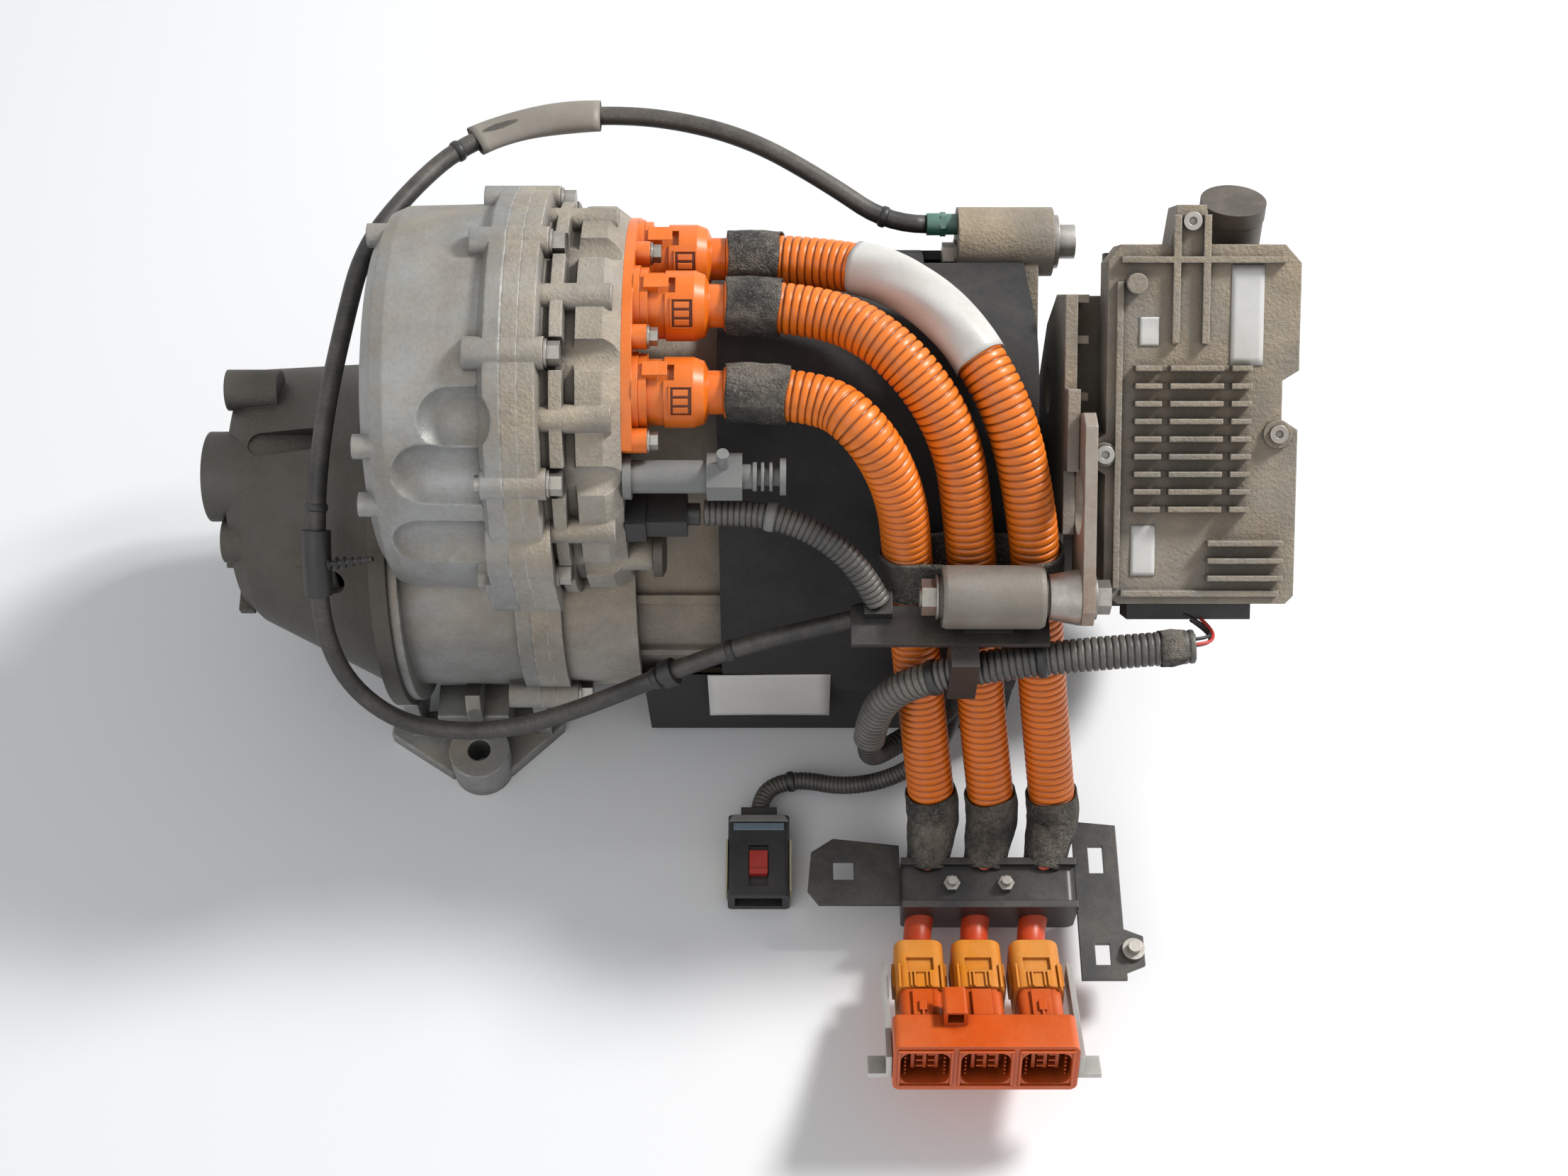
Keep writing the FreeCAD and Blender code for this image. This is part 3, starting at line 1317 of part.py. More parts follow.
def make_bracket_casting():
    """Webs and a sloping shelf between the clutch housing and the control unit."""
    tilt = Rotation(X_AXIS, S.unit_tilt)
    low = Vector(0, S.unit_low_back, S.unit_low_up)
    under = -(S.unit_depth + S.unit_cover_depth)

    def laid(length, width, height, corner):
        shape = Part.makeBox(length, width, height, Vector(*corner))
        shape.Placement = Placement(low, tilt).multiply(Placement(Vector(), LEVEL))
        return shape

    plate_start = S.bush_start + S.bush_length + SPACER_LENGTH
    start = plate_start - S.casting_wall
    shelf = laid(56, 118, SHELF, (start, 34, under - SHELF - 0.2))
    wall = laid(S.casting_wall, 118, 38, (start, 34, under - SHELF - 0.2))
    ribs = [laid(8, 4, 34, (start + 4, y, under - SHELF)) for y in (44, 72, 100, 128, 148)]
    lug_wall = laid(S.casting_wall, 40, 44, (start, 66, -34))
    webs = [web_plate(x, S.casting_wall) for x in (start, start + 25, start + 46)]
    shape = unite([shelf, wall, lug_wall] + ribs + webs)
    unit_room = laid(120, 200, 60, (S.unit_left - 0.5, -10, under - 0.2))
    shape = shape.cut(unit_room)
    shape = shape.cut(laid(S.plate_thickness + 0.6, 60, 60, (plate_start - 0.3, 0, -30)))
    shape = shape.cut(laid(S.plate_thickness + 0.6, 32, 60, (plate_start - 0.3, 60, -30)))
    shape = shape.cut(disc(S.clutch_radius + 0.3, 430, S.clutch_end - 11, AXLE))
    shape = shape.cut(disc(S.clutch_radius - 3.5, S.clutch_end - 12, S.clutch_end + 13, AXLE))
    node(shaped(shape), "bracket_casting")


def shelf_height(y):
    """Height of the middle of the sloping shelf above a distance y to the back."""
    slope = math.radians(S.unit_tilt)
    drop = S.unit_depth + S.unit_cover_depth + SHELF / 2
    return S.unit_low_up + (y - S.unit_low_back) * math.tan(slope) - drop / math.cos(slope)


def web_plate(station, thickness):
    outline = [
        (-46, 40), (50, 40), (56, 110), (44, shelf_height(44)), (-42, shelf_height(-42)), (-56, 60),
    ]
    points = [Vector(station, y, z) for y, z in outline]
    web = Part.Face(Part.makePolygon(points + points[:1])).extrude(Vector(thickness, 0, 0))
    hole = disc(12, station, station + thickness, (24, 96))
    return web.cut(hole)


# Control unit

def unit_place():
    return Placement(Vector(S.unit_left, S.unit_low_back, S.unit_low_up),
                     Rotation(X_AXIS, S.unit_tilt))


def in_unit(obj):
    """Lay a piece drawn in the control unit's own axes."""
    obj.Placement = unit_place().multiply(obj.Placement)
    return obj


def make_control_unit():
    width, height, depth = S.unit_width, S.unit_height, S.unit_depth
    body = doc.addObject("PartDesign::Body", "control_unit_body")
    ear_left, ear_right = 30, 50
    outline = [
        (7, 0), (width - 4, 0), (width, 4), (width, 86), (width - 8, 91), (width - 8, 110),
        (width, 115), (width, height - 9), (width - 8, height), (ear_right, height),
        (ear_right - 3, height + 19), (ear_left + 3, height + 19), (ear_left, height),
        (6, height), (0, height - 8), (0, 84), (-6, 80), (-6, 68), (0, 64), (0, 7),
    ]
    case = body.newObject("PartDesign::Pad", "case_pad")
    case.Profile = drawn(body, "XY_Plane", [outline])
    case.Reversed = True
    bind(case, "Length", depth)
    row = ribbed(body, "long_fin", 13, 46, S.fin_length, S.fin_count)
    short = ribbed(body, "short_fin", 50, 12, 37, 3)
    for name, (x, y, length, rib_width) in {
        "left_ear_rib": (31, 128, 3.5, 62), "right_ear_rib": (45.5, 128, 3.5, 62),
        "top_rim": (6, 167, 80, 3), "left_rim": (4, 8, 3, 150), "low_rim": (8, 4, 78, 3),
    }.items():
        strip = body.newObject("PartDesign::Pad", name)
        strip.Profile = drawn(body, "XY_Plane", [[
            (x, y), (x + length, y), (x + length, y + rib_width), (x, y + rib_width)]])
        strip.Length = 4
    doc.recompute()
    room = block((width - 12, height - 14, depth), (6, 7, 4 - 2 * depth))
    room.Placement.Base = Vector(6, 7, -depth - 4)
    channels = [block((4, 82, 20), (x, 44, 1)) for x in (26, 56)]
    posts = [rod(5, 8, (13, 157, 0), LEVEL), rod(7, 8, (width - 10, 84, -6), LEVEL),
             rod(6, 7, (-1, 74, -4), LEVEL)]
    doc.recompute()
    whole = body.Shape
    for post in posts:
        whole = whole.fuse(post.Shape)
    for tool in [room] + channels:
        whole = whole.cut(tool.Shape)
    for helper in posts + channels + [room]:
        doc.removeObject(helper.Name)
    holder = shaped(whole.removeSplitter(), "control_unit_shape")
    node(in_unit(holder), "control_unit_housing")

    base_depth = S.unit_cover_depth
    cover = Part.makeBox(width - 4, height - 6, base_depth, Vector(2, 3, -depth - base_depth))
    tray = Part.makeBox(62, 14, base_depth, Vector(14, -9.5, -depth - base_depth))
    socket = Part.makeBox(62, 9.2, 22, Vector(14, -9.5, -depth - base_depth))
    room = Part.makeBox(56, 8, 15, Vector(17, -10.5, -depth - base_depth + 3.5))
    lid = Part.makeBox(width - 14, height - 16, 2, Vector(7, 8, -depth))
    cover = unite([cover, lid, tray, socket]).cut(room)
    node(in_unit(shaped(cover, "control_unit_base_shape")), "control_unit_base")
    screws = []
    for x, y, z in ((40, height + 11, 0), (width - 10, 84, 2), (-1, 74, 3)):
        head = Part.makeCylinder(4.5, 3.5, Vector(x, y, z)).cut(
            Part.makeCylinder(2, 2, Vector(x, y, z + 2)))
        screws.append(head)
    node(in_unit(shaped(Part.makeCompound(screws), "control_unit_screw_shapes")),
         "control_unit_screws")


def ribbed(body, name, x, y, length, count):
    """A row of equal fins up the case."""
    fin = body.newObject("PartDesign::Pad", name)
    thickness = S.fin_thickness
    fin.Profile = drawn(body, "XY_Plane", [[
        (x, y), (x + length, y), (x + length, y + thickness), (x, y + thickness)]])
    bind(fin, "Length", S.fin_height)
    doc.recompute()
    row = body.newObject("PartDesign::LinearPattern", name + "_row")
    row.Originals = [fin]
    row.Direction = (fin.Profile[0], ["V_Axis"])
    bind(row, "Length", S.fin_pitch * (count - 1))
    bind(row, "Occurrences", count)
    body.Tip = row
    return row


def make_actuator():
    """Motor that shifts the clutch: gear case on the rail and an upright can."""
    y, z = actuator_place()
    start = S.clutch_end + 11
    low = Vector(525, 36, 64)
    high = Vector(525, 81.5, 178.5)
    can = Part.makeCylinder(16, (high - low).Length - 8, low, high - low)
    cap = Part.makeCylinder(16.5, 8, high - (high - low).normalize() * 8, high - low)
    case = Part.makeBox(52, 34, 34, Vector(start, y - 12, z + 2))
    barrel = disc(15, start, start + 36, (y, z))
    shape = unite([can, cap, case, barrel]).cut(disc(6, start - 1, start + 30, (y, z)))
    shape = shape.cut(disc(S.tube_radius + 8.5, start - 2, 560, AXLE))
    node(shaped(shape), "disconnect_actuator")


# Harness connector on the ground

def connector_place():
    return Placement(Vector(*INLET), Rotation(X_AXIS, -S.connector_tilt))


def laid_out(shape, label):
    shape.Placement = connector_place().multiply(shape.Placement)
    return node(shaped(shape), label)


def rounded_box(width, depth, height, corner, radius):
    box = Part.makeBox(width, depth, height, Vector(*corner))
    return box.makeFillet(radius, [e for e in box.Edges if abs(e.tangentAt(0).y) > 0.9])


def make_connector():
    pitch = S.connector_pitch
    length = S.connector_length
    columns = [-pitch, 0, pitch]
    bore = S.cable_radius + S.running_gap
    collars, plugs = [], []
    for x in columns:
        collar = rounded_box(26, 34, 26, (x - 13, -34, -13), 6)
        latches = [Part.makeBox(2.4, 16, 10, Vector(x + side, -26, -5)) for side in (-14.4, 12)]
        collar = unite([collar] + latches)
        collar = collar.cut(Part.makeBox(14, 9, 3, Vector(x - 7, -22, 11)))
        collars.append(collar.cut(Part.makeCylinder(bore, 40, Vector(x, 1, 0), Vector(0, -1, 0))))
        plug = rounded_box(23, 22, 23, (x - 11.5, -56, -11.5), 5)
        ledge = Part.makeBox(10, 18, 3, Vector(x - 5, -54, 10.5))
        plugs.append(plug.fuse(ledge))
    laid_out(Part.makeCompound(collars), "inlet_collars")
    laid_out(Part.makeCompound(plugs), "inlet_plugs")
    body = rounded_box(3 * pitch + 2, length - 56, 31, (-1.5 * pitch - 1, -length, -15.5), 4)
    for x in columns:
        body = body.cut(rounded_box(25, 17, 22, (x - 12.5, -length - 1, -11), 6))
    ribs = [Part.makeBox(2, 9, 14, Vector(x + step, -length + 7, -7))
            for x in columns for step in (-7, -1, 5)]
    socket = rounded_box(12, 18, 10, (-21, -length + 14, 15), 2)
    socket = socket.cut(Part.makeBox(8, 8, 6, Vector(-19, -length + 13, 17.7)))
    laid_out(unite([body, socket] + ribs), "header_block")
    half = 1.5 * pitch + 1
    rails = []
    for side in (-1, 1):
        inner = side * (half + 0.3)
        outer = side * (half + 3.3)
        low, high = min(inner, outer), max(inner, outer)
        rail = Part.makeBox(3, length - 12, 12, Vector(low, -length + 2, -6))
        foot_low = low if side > 0 else high - 12
        foot = Part.makeBox(12, 12, 3, Vector(low - 9 if side < 0 else low, -length + 2, -9))
        rails.append(rail.fuse(foot))
    laid_out(Part.makeCompound(rails), "header_rails")


def make_clamp():
    """Channel clamp on the three cables, its studs and the two flat brackets."""
    body = rounded_box(94, 28.5, 26, (362, -203, -88), 5)
    body = body.fuse(Part.makeBox(94, 4, 5, Vector(362, -203, -63)))
    body = body.fuse(Part.makeBox(94, 4, 5, Vector(362, -178.5, -63)))
    for route in CABLE_ROUTES:
        body = body.cut(swept(cord_edges(route, "in the clamp"), S.cable_radius))
    node(shaped(body), "harness_clamp")
    studs = [
        joined([rod(2.5, 8, (x, -189, -62), LEVEL), nut(9, 4, (x, -189, -62), LEVEL)])
        for x in (389, 418)
    ]
    share("clamp_studs", studs)
    thickness = S.strip_thickness
    ear = [(6, 0), (50, 0), (50, 34), (14, 38), (2, 30), (0, 8)]
    hole = [(14, 14), (25, 14), (25, 25), (14, 25)]
    node(plate("left_bracket_body", [ear, hole], thickness, (311.7, -197, -72)), "left_bracket")
    strip = [(0, 0), (24, 0), (24, 4), (34, 8), (34, 24), (24, 28), (24, 88), (4, 90), (0, 84)]
    slots = [
        [(8, 8), (16, 8), (16, 20), (8, 20)], [(8, 60), (16, 60), (16, 76), (8, 76)],
    ]
    node(plate("right_strip_body", [strip] + slots, thickness, (456.3, -240, -70)),
         "right_strip")
    tab_bolt = [rod(6, 3, (484.3, -224, -67), LEVEL), rod(3.5, 5, (484.3, -224, -64), LEVEL)]
    share("clamp_studs", [joined(tab_bolt)])


def make_low_voltage_connector():
    """Connector lying on the ground, with a sliding lock on top."""
    x, y, z = 268, -187, S.ground
    body = rounded_box(34, 48, 20, (x, y, z), 3)
    body = body.cut(Part.makeBox(26, 18, 12, Vector(x + 4, y - 1, z + 4)))
    slot = Part.makeBox(10.6, 24, 3, Vector(x + 11.7, y + 6, z + 17.5))
    body = body.cut(slot)
    gland = Part.makeBox(20, 6, 14, Vector(x + 7, y + 48, z + 3))
    gland = gland.cut(Part.makeCylinder(S.branch_radius, 10, Vector(x + 17, y + 46, z + 11),
                                        Vector(0, 1, 0)))
    node(shaped(body.fuse(gland)), "wire_connector")
    lock = Part.makeBox(10, 14, 4, Vector(x + 12, y + 12, z + 17.8))
    lock = lock.fuse(Part.makeBox(10, 3, 3, Vector(x + 12, y + 12, z + 20)))
    node(shaped(lock), "wire_connector_lock")



make_left_housing()
make_motor_housing()
make_middle_ring()
make_end_cover()
make_through_bolts()
make_gearbox()
make_casing_bolts()
make_jacket()
make_foot()
make_stator()
make_rotor()
make_countershaft()
make_differential()
make_axle_parts()
make_clutch()
make_header_plate()
make_header_bolts()
make_hv_plugs()
make_cover_fittings()
make_lug_parts()
make_harness()
make_hoses()
make_bush()
make_bracket_casting()
make_control_unit()
make_actuator()
make_connector()
make_clamp()
make_low_voltage_connector()
group_shared()


def write_parts():
    doc.recompute()
    faults = [o.Name for o in doc.Objects if {"Invalid", "Error"} & set(o.State)]
    faults += [label for label, obj in nodes.items() if obj.Shape.isNull()]
    faults += [label for label, obj in nodes.items() if not obj.Shape.isValid()]
    if faults:
        raise SystemExit("faulty: " + ", ".join(faults))
    for label, obj in nodes.items():
        obj.Shape.exportStep(f"parts/{label}.step")
        print(label, len(obj.Shape.Solids), round(obj.Shape.Volume))
    print(len(nodes), "nodes")


write_parts()
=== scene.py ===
# %% [markdown]
# # An electric axle drive with its orange cables
# The drive unit is a row of cast aluminium housings along one axle. The
# castings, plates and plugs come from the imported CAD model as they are. Here
# they get their finishes, and the soft and fine pieces are built on them:
# ribbed conduits, woven tape, hoses, wires and blank labels.

# %% Load the fixed frame
import json
import math

import bmesh
import bpy
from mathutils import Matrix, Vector, geometry


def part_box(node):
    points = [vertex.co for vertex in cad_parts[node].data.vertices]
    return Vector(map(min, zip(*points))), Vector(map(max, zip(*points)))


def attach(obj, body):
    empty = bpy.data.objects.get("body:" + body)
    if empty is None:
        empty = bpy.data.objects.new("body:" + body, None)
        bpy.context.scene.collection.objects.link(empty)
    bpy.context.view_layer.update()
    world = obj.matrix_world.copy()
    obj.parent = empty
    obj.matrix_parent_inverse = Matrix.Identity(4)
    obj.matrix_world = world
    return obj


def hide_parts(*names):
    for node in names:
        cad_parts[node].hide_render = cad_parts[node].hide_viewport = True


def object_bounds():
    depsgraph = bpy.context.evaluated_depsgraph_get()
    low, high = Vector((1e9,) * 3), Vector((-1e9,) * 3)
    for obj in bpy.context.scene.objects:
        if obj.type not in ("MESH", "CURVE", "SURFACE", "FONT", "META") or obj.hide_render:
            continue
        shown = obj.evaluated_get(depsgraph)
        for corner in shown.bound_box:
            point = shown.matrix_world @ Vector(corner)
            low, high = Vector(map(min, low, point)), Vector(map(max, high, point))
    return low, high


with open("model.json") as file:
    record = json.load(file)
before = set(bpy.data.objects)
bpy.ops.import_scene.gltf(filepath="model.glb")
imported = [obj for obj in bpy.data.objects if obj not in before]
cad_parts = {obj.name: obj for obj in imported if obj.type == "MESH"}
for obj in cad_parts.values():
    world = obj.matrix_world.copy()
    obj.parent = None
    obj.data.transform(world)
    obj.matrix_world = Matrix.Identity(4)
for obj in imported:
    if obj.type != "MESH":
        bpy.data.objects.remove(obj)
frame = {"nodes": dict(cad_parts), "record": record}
cad_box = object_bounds()
nodes = frame["nodes"]
print(len(nodes), "nodes of the frame")

# %% [markdown]
# The camera looks down at the unit from the front at sixty degrees, from a bit
# over a metre away. The lens was found by matching round and square features.

# %% Camera
LENS, SENSOR = 48.82, 36
CAMERA_PLACE = (0.299, -0.6218, 1.0070)
CAMERA_TILT = math.radians(30)
camera_data = bpy.data.cameras.new("photo_camera")
camera_data.lens = LENS
camera_data.sensor_width = SENSOR
camera = bpy.data.objects.new("photo_camera", camera_data)
camera.location = CAMERA_PLACE
camera.rotation_euler = (CAMERA_TILT, 0, 0)
bpy.context.scene.collection.objects.link(camera)
bpy.context.scene.camera = camera
print("camera at", tuple(camera.location))

# %% [markdown]
# A pale floor, an even white sky, one bright lamp from the right and back and a
# broad weak one from the left and front give the soft daylight of an open yard.
# The white of the sky is only what the camera and mirrors see; the light itself
# stays at a plain level.

# %% Sky, floor and lamps
SKY_TINT, SKY_LIGHT = (0.93, 0.96, 1.0, 1), 0.42
scene = bpy.context.scene
scene.view_settings.view_transform = "Standard"
world = bpy.data.worlds.new("white_sky")
scene.world = world
world.use_nodes = True
sky = world.node_tree.nodes
sky.clear()
sky_links = world.node_tree.links
rays = sky.new("ShaderNodeLightPath")
seen = rays.outputs["Is Camera Ray"]
for other_ray in ("Is Glossy Ray", "Is Transmission Ray"):
    either = sky.new("ShaderNodeMath")
    either.operation = "MAXIMUM"
    sky_links.new(seen, either.inputs[0])
    sky_links.new(rays.outputs[other_ray], either.inputs[1])
    seen = either.outputs[0]
soft = sky.new("ShaderNodeBackground")
soft.inputs["Color"].default_value = SKY_TINT
soft.inputs["Strength"].default_value = SKY_LIGHT
white = sky.new("ShaderNodeBackground")
white.inputs["Color"].default_value = (1, 1, 1, 1)
blend = sky.new("ShaderNodeMixShader")
output = sky.new("ShaderNodeOutputWorld")
sky_links.new(seen, blend.inputs["Fac"])
sky_links.new(soft.outputs[0], blend.inputs[1])
sky_links.new(white.outputs[0], blend.inputs[2])
sky_links.new(blend.outputs[0], output.inputs["Surface"])


UNIT_MIDDLE = Vector((0.28, 0, 0.05))


def lamp(name, place, size, power):
    """A square lamp that points at the middle of the unit."""
    data = bpy.data.lights.new(name, "AREA")
    data.size = size
    data.energy = power
    light = bpy.data.objects.new(name, data)
    light.location = place
    light.rotation_euler = (UNIT_MIDDLE - Vector(place)).to_track_quat("-Z", "Y").to_euler()
    scene.collection.objects.link(light)


lamp("key_lamp", (1.85, 0.8, 1.75), 0.45, 62)
lamp("fill_lamp", (-0.6, -1.4, 1.7), 1.6, 9)


def mesh_object(name, points, faces):
    mesh = bpy.data.meshes.new(name)
    mesh.from_pydata([tuple(p) for p in points], [], faces)
    mesh.update()
    made = bpy.data.objects.new(name, mesh)
    scene.collection.objects.link(made)
    return made


GROUND = cad_box[0][2]
REACH = 6
floor_corners = [(-REACH, -REACH), (REACH, -REACH), (REACH, REACH), (-REACH, REACH)]
floor = mesh_object("floor", [(x, y, GROUND) for x, y in floor_corners], [(0, 1, 2, 3)])
print("floor at", round(GROUND, 4))

# %% [markdown]
# Most finishes here share a few effects: a blotchy colour, a film of dust, edges
# lightened by wear and a painted highlight, corners darkened by painted shade and
# dirt, the grain of sand-cast metal and a woven cloth.
# Each is a node group with named sockets, so that every material can use it with
# its own values. These helpers build the groups.

# %% Node group helpers
def group(name, inputs, outputs):
    made = bpy.data.node_groups.new(name, "ShaderNodeTree")
    for label, kind, value in inputs:
        socket = made.interface.new_socket(label, in_out="INPUT", socket_type="NodeSocket" + kind)
        socket.default_value = value
    for label, kind in outputs:
        made.interface.new_socket(label, in_out="OUTPUT", socket_type="NodeSocket" + kind)
    return made, made.nodes.new("NodeGroupInput").outputs, made.nodes.new("NodeGroupOutput").inputs


def node(tree, kind, links=None, **settings):
    """Add a node, set its fields and sockets, and link what is given."""
    made = tree.nodes.new("ShaderNode" + kind)
    for key, value in settings.items():
        if hasattr(made, key):
            setattr(made, key, value)
        else:
            made.inputs[key.replace("_", " ")].default_value = value
    for socket, source in (links or {}).items():
        tree.links.new(source, made.inputs[socket])
    return made


def times(tree, first, second, **settings):
    return node(tree, "Math", {0: first, 1: second}, operation="MULTIPLY", **settings).outputs[0]


def plus(tree, first, second):
    return node(tree, "Math", {0: first, 1: second}, operation="ADD").outputs[0]


def ramp(tree, source, low, high):
    """Stretch a value between two limits to 0..1 with smooth ends."""
    made = node(tree, "MapRange", {"Value": source}, interpolation_type="SMOOTHSTEP")
    made.inputs["From Min"].default_value = low
    made.inputs["From Max"].default_value = high
    return made.outputs["Result"]


def mixed(tree, factor, first, second):
    made = node(tree, "Mix", data_type="RGBA")
    for socket, source in ((0, factor), (6, first), (7, second)):
        if isinstance(source, bpy.types.NodeSocket):
            tree.links.new(source, made.inputs[socket])
        else:
            made.inputs[socket].default_value = source
    return made.outputs[2]


# %% [markdown]
# Blotches are large soft stains. Fine noise frays their edges.

# %% Blotchy colour
blotches, given, result = group(
    "blotches",
    [("Color", "Color", (0.5, 0.5, 0.5, 1)), ("Stain Color", "Color", (0.3, 0.25, 0.2, 1)),
     ("Amount", "Float", 0.5), ("Scale", "Float", 30.0), ("Grain", "Float", 0.25)],
    [("Color", "Color")])
spot = node(blotches, "TexCoord").outputs["Object"]
wide = node(blotches, "TexNoise", {"Vector": spot, "Scale": given["Scale"]}, Detail=6.0, Roughness=0.62)
fine = node(blotches, "TexNoise", {"Vector": spot}, Scale=420.0, Detail=4.0)
faint = times(blotches, fine.outputs["Fac"], given["Grain"])
mask = ramp(blotches, plus(blotches, wide.outputs["Fac"], faint), 0.42, 0.85)
amount = times(blotches, mask, given["Amount"])
blotches.links.new(mixed(blotches, amount, given["Color"], given["Stain Color"]), result["Color"])
print("blotches take", len(given) - 1, "values")

# %% [markdown]
# Dust settles on what faces up. It lies in patches and is crumbly, so the group
# also gives its mask, which makes a surface rougher, and its crumbs, for a bump.

# %% Dust film
dust_film, given, result = group(
    "dust_film",
    [("Color", "Color", (0.5, 0.5, 0.5, 1)), ("Dust Color", "Color", (0.55, 0.48, 0.38, 1)),
     ("Amount", "Float", 0.5), ("Scale", "Float", 14.0)],
    [("Color", "Color"), ("Mask", "Float"), ("Crumbs", "Float")])
spot = node(dust_film, "TexCoord").outputs["Object"]
facing = node(dust_film, "SeparateXYZ", {0: node(dust_film, "NewGeometry").outputs["Normal"]})
upward = ramp(dust_film, facing.outputs["Z"], -0.3, 0.9)
cloud = node(dust_film, "TexNoise", {"Vector": spot, "Scale": given["Scale"]}, Detail=8.0, Roughness=0.7)
patches = ramp(dust_film, cloud.outputs["Fac"], 0.32, 0.66)
lying = times(dust_film, upward, patches)
crumbs = node(dust_film, "TexNoise", {"Vector": spot}, Scale=520.0, Detail=3.0, Roughness=0.7)
crumb_mask = ramp(dust_film, crumbs.outputs["Fac"], 0.3, 0.72)
broken = node(dust_film, "MapRange", {"Value": crumb_mask}, To_Min=0.72, To_Max=1.15)
crumbly = times(dust_film, lying, broken.outputs["Result"])
amount = times(dust_film, crumbly, given["Amount"], use_clamp=True)
tone = node(dust_film, "TexNoise", {"Vector": spot}, Scale=60.0, Detail=5.0)
dust_light = node(dust_film, "HueSaturation", {"Color": given["Dust Color"]})
dust_value = node(dust_film, "MapRange", {"Value": tone.outputs["Fac"]}, To_Min=0.6, To_Max=1.4)
dust_film.links.new(dust_value.outputs["Result"], dust_light.inputs["Value"])
dust_film.links.new(mixed(dust_film, amount, given["Color"], dust_light.outputs["Color"]), result["Color"])
dust_film.links.new(amount, result["Mask"])
dust_film.links.new(times(dust_film, crumb_mask, amount), result["Crumbs"])
print("dust gives", len(result) - 1, "values")

# %% [markdown]
# A rounded normal differs from the flat one only at an edge, so the difference
# shows the edges. They are lightened: partly the skin rubbed bright, partly a
# painted highlight. Corners that see little of the sky are darkened: painted
# shade, with some dirt.

# %% Edges with wear and painted highlight, corners with painted shade and dirt
wear_and_painted_light, given, result = group(
    "wear_and_painted_light", [("Color", "Color", (0.5, 0.5, 0.5, 1)), ("Rub Color", "Color", (0.6, 0.6, 0.58, 1)),
             ("Dirt Color", "Color", (0.08, 0.065, 0.05, 1)), ("Rub", "Float", 0.5), ("Dirt", "Float", 0.6),
             ("Round", "Float", 0.0008)],
    [("Color", "Color"), ("Normal", "Vector")])
rounded = node(wear_and_painted_light, "Bevel", {"Radius": given["Round"]}, samples=6)
flat = node(wear_and_painted_light, "NewGeometry")
alike = node(wear_and_painted_light, "VectorMath", {0: rounded.outputs["Normal"], 1: flat.outputs["Normal"]},
             operation="DOT_PRODUCT")
edge = node(wear_and_painted_light, "MapRange", {"Value": alike.outputs["Value"]}, From_Min=0.995, From_Max=0.86)
# Corners with little open sky are darkened: painted shade, with some dirt.
open_sky = node(wear_and_painted_light, "AmbientOcclusion", samples=6, Distance=0.014)
corner = ramp(wear_and_painted_light, open_sky.outputs["AO"], 0.85, 0.25)
spot = node(wear_and_painted_light, "TexCoord").outputs["Object"]
broken = node(wear_and_painted_light, "TexNoise", {"Vector": spot}, Scale=160.0, Detail=4.0)
patchy = ramp(wear_and_painted_light, broken.outputs["Fac"], 0.35, 0.62)
# Open edges are lightened: partly wear, partly a painted highlight.
raised = times(wear_and_painted_light, edge.outputs["Result"], ramp(wear_and_painted_light, open_sky.outputs["AO"], 0.6, 0.95))
rub_and_highlight = times(wear_and_painted_light, times(wear_and_painted_light, raised, patchy), given["Rub"], use_clamp=True)
dirt_and_shade = times(wear_and_painted_light, corner, given["Dirt"], use_clamp=True)
dirtied_and_shaded = mixed(wear_and_painted_light, dirt_and_shade, given["Color"], given["Dirt Color"])
wear_and_painted_light.links.new(mixed(wear_and_painted_light, rub_and_highlight, dirtied_and_shaded, given["Rub Color"]), result["Color"])
wear_and_painted_light.links.new(rounded.outputs["Normal"], result["Normal"])
print("wear gives", len(result) - 1, "values")

# %% [markdown]
# Sand-cast metal has a fine grain with small pits in it.

# %% Casting grain
casting_grain, given, result = group(
    "casting_grain", [("Scale", "Float", 600.0), ("Pits", "Float", 0.5)], [("Height", "Float")])
spot = node(casting_grain, "TexCoord").outputs["Object"]
grains = node(casting_grain, "TexNoise", {"Vector": spot, "Scale": given["Scale"]}, Detail=5.0)
pits = node(casting_grain, "TexVoronoi", {"Vector": spot}, Scale=260.0, feature="F1")
deep = ramp(casting_grain, pits.outputs["Distance"], 0.05, 0.3)
height = plus(casting_grain, grains.outputs["Fac"], times(casting_grain, deep, given["Pits"]))
casting_grain.links.new(height, result["Height"])
print("grain gives", len(result) - 1, "values")

# %% [markdown]
# Cloth tape shows pale threads over a dark ground, with loops between them.

# %% Woven cloth
woven, given, result = group("woven", [("Scale", "Float", 900.0)], [("Mask", "Float"), ("Height", "Float")])
spot = node(woven, "TexCoord").outputs["Object"]
threads = node(woven, "TexNoise", {"Vector": spot, "Scale": given["Scale"]}, Detail=3.0,
               Roughness=0.8, Distortion=0.4)
loops = node(woven, "TexVoronoi", {"Vector": spot, "Scale": given["Scale"]}, feature="DISTANCE_TO_EDGE")
loop_mask = ramp(woven, loops.outputs["Distance"], 0.0, 0.35)
patch = node(woven, "TexNoise", {"Vector": spot}, Scale=70.0, Detail=2.0)
bright = ramp(woven, threads.outputs["Fac"], 0.42, 0.72)
worn_patch = ramp(woven, patch.outputs["Fac"], 0.25, 0.75)
woven.links.new(times(woven, bright, worn_patch), result["Mask"])
woven.links.new(plus(woven, threads.outputs["Fac"], loop_mask), result["Height"])
print("groups:", [g.name for g in bpy.data.node_groups])

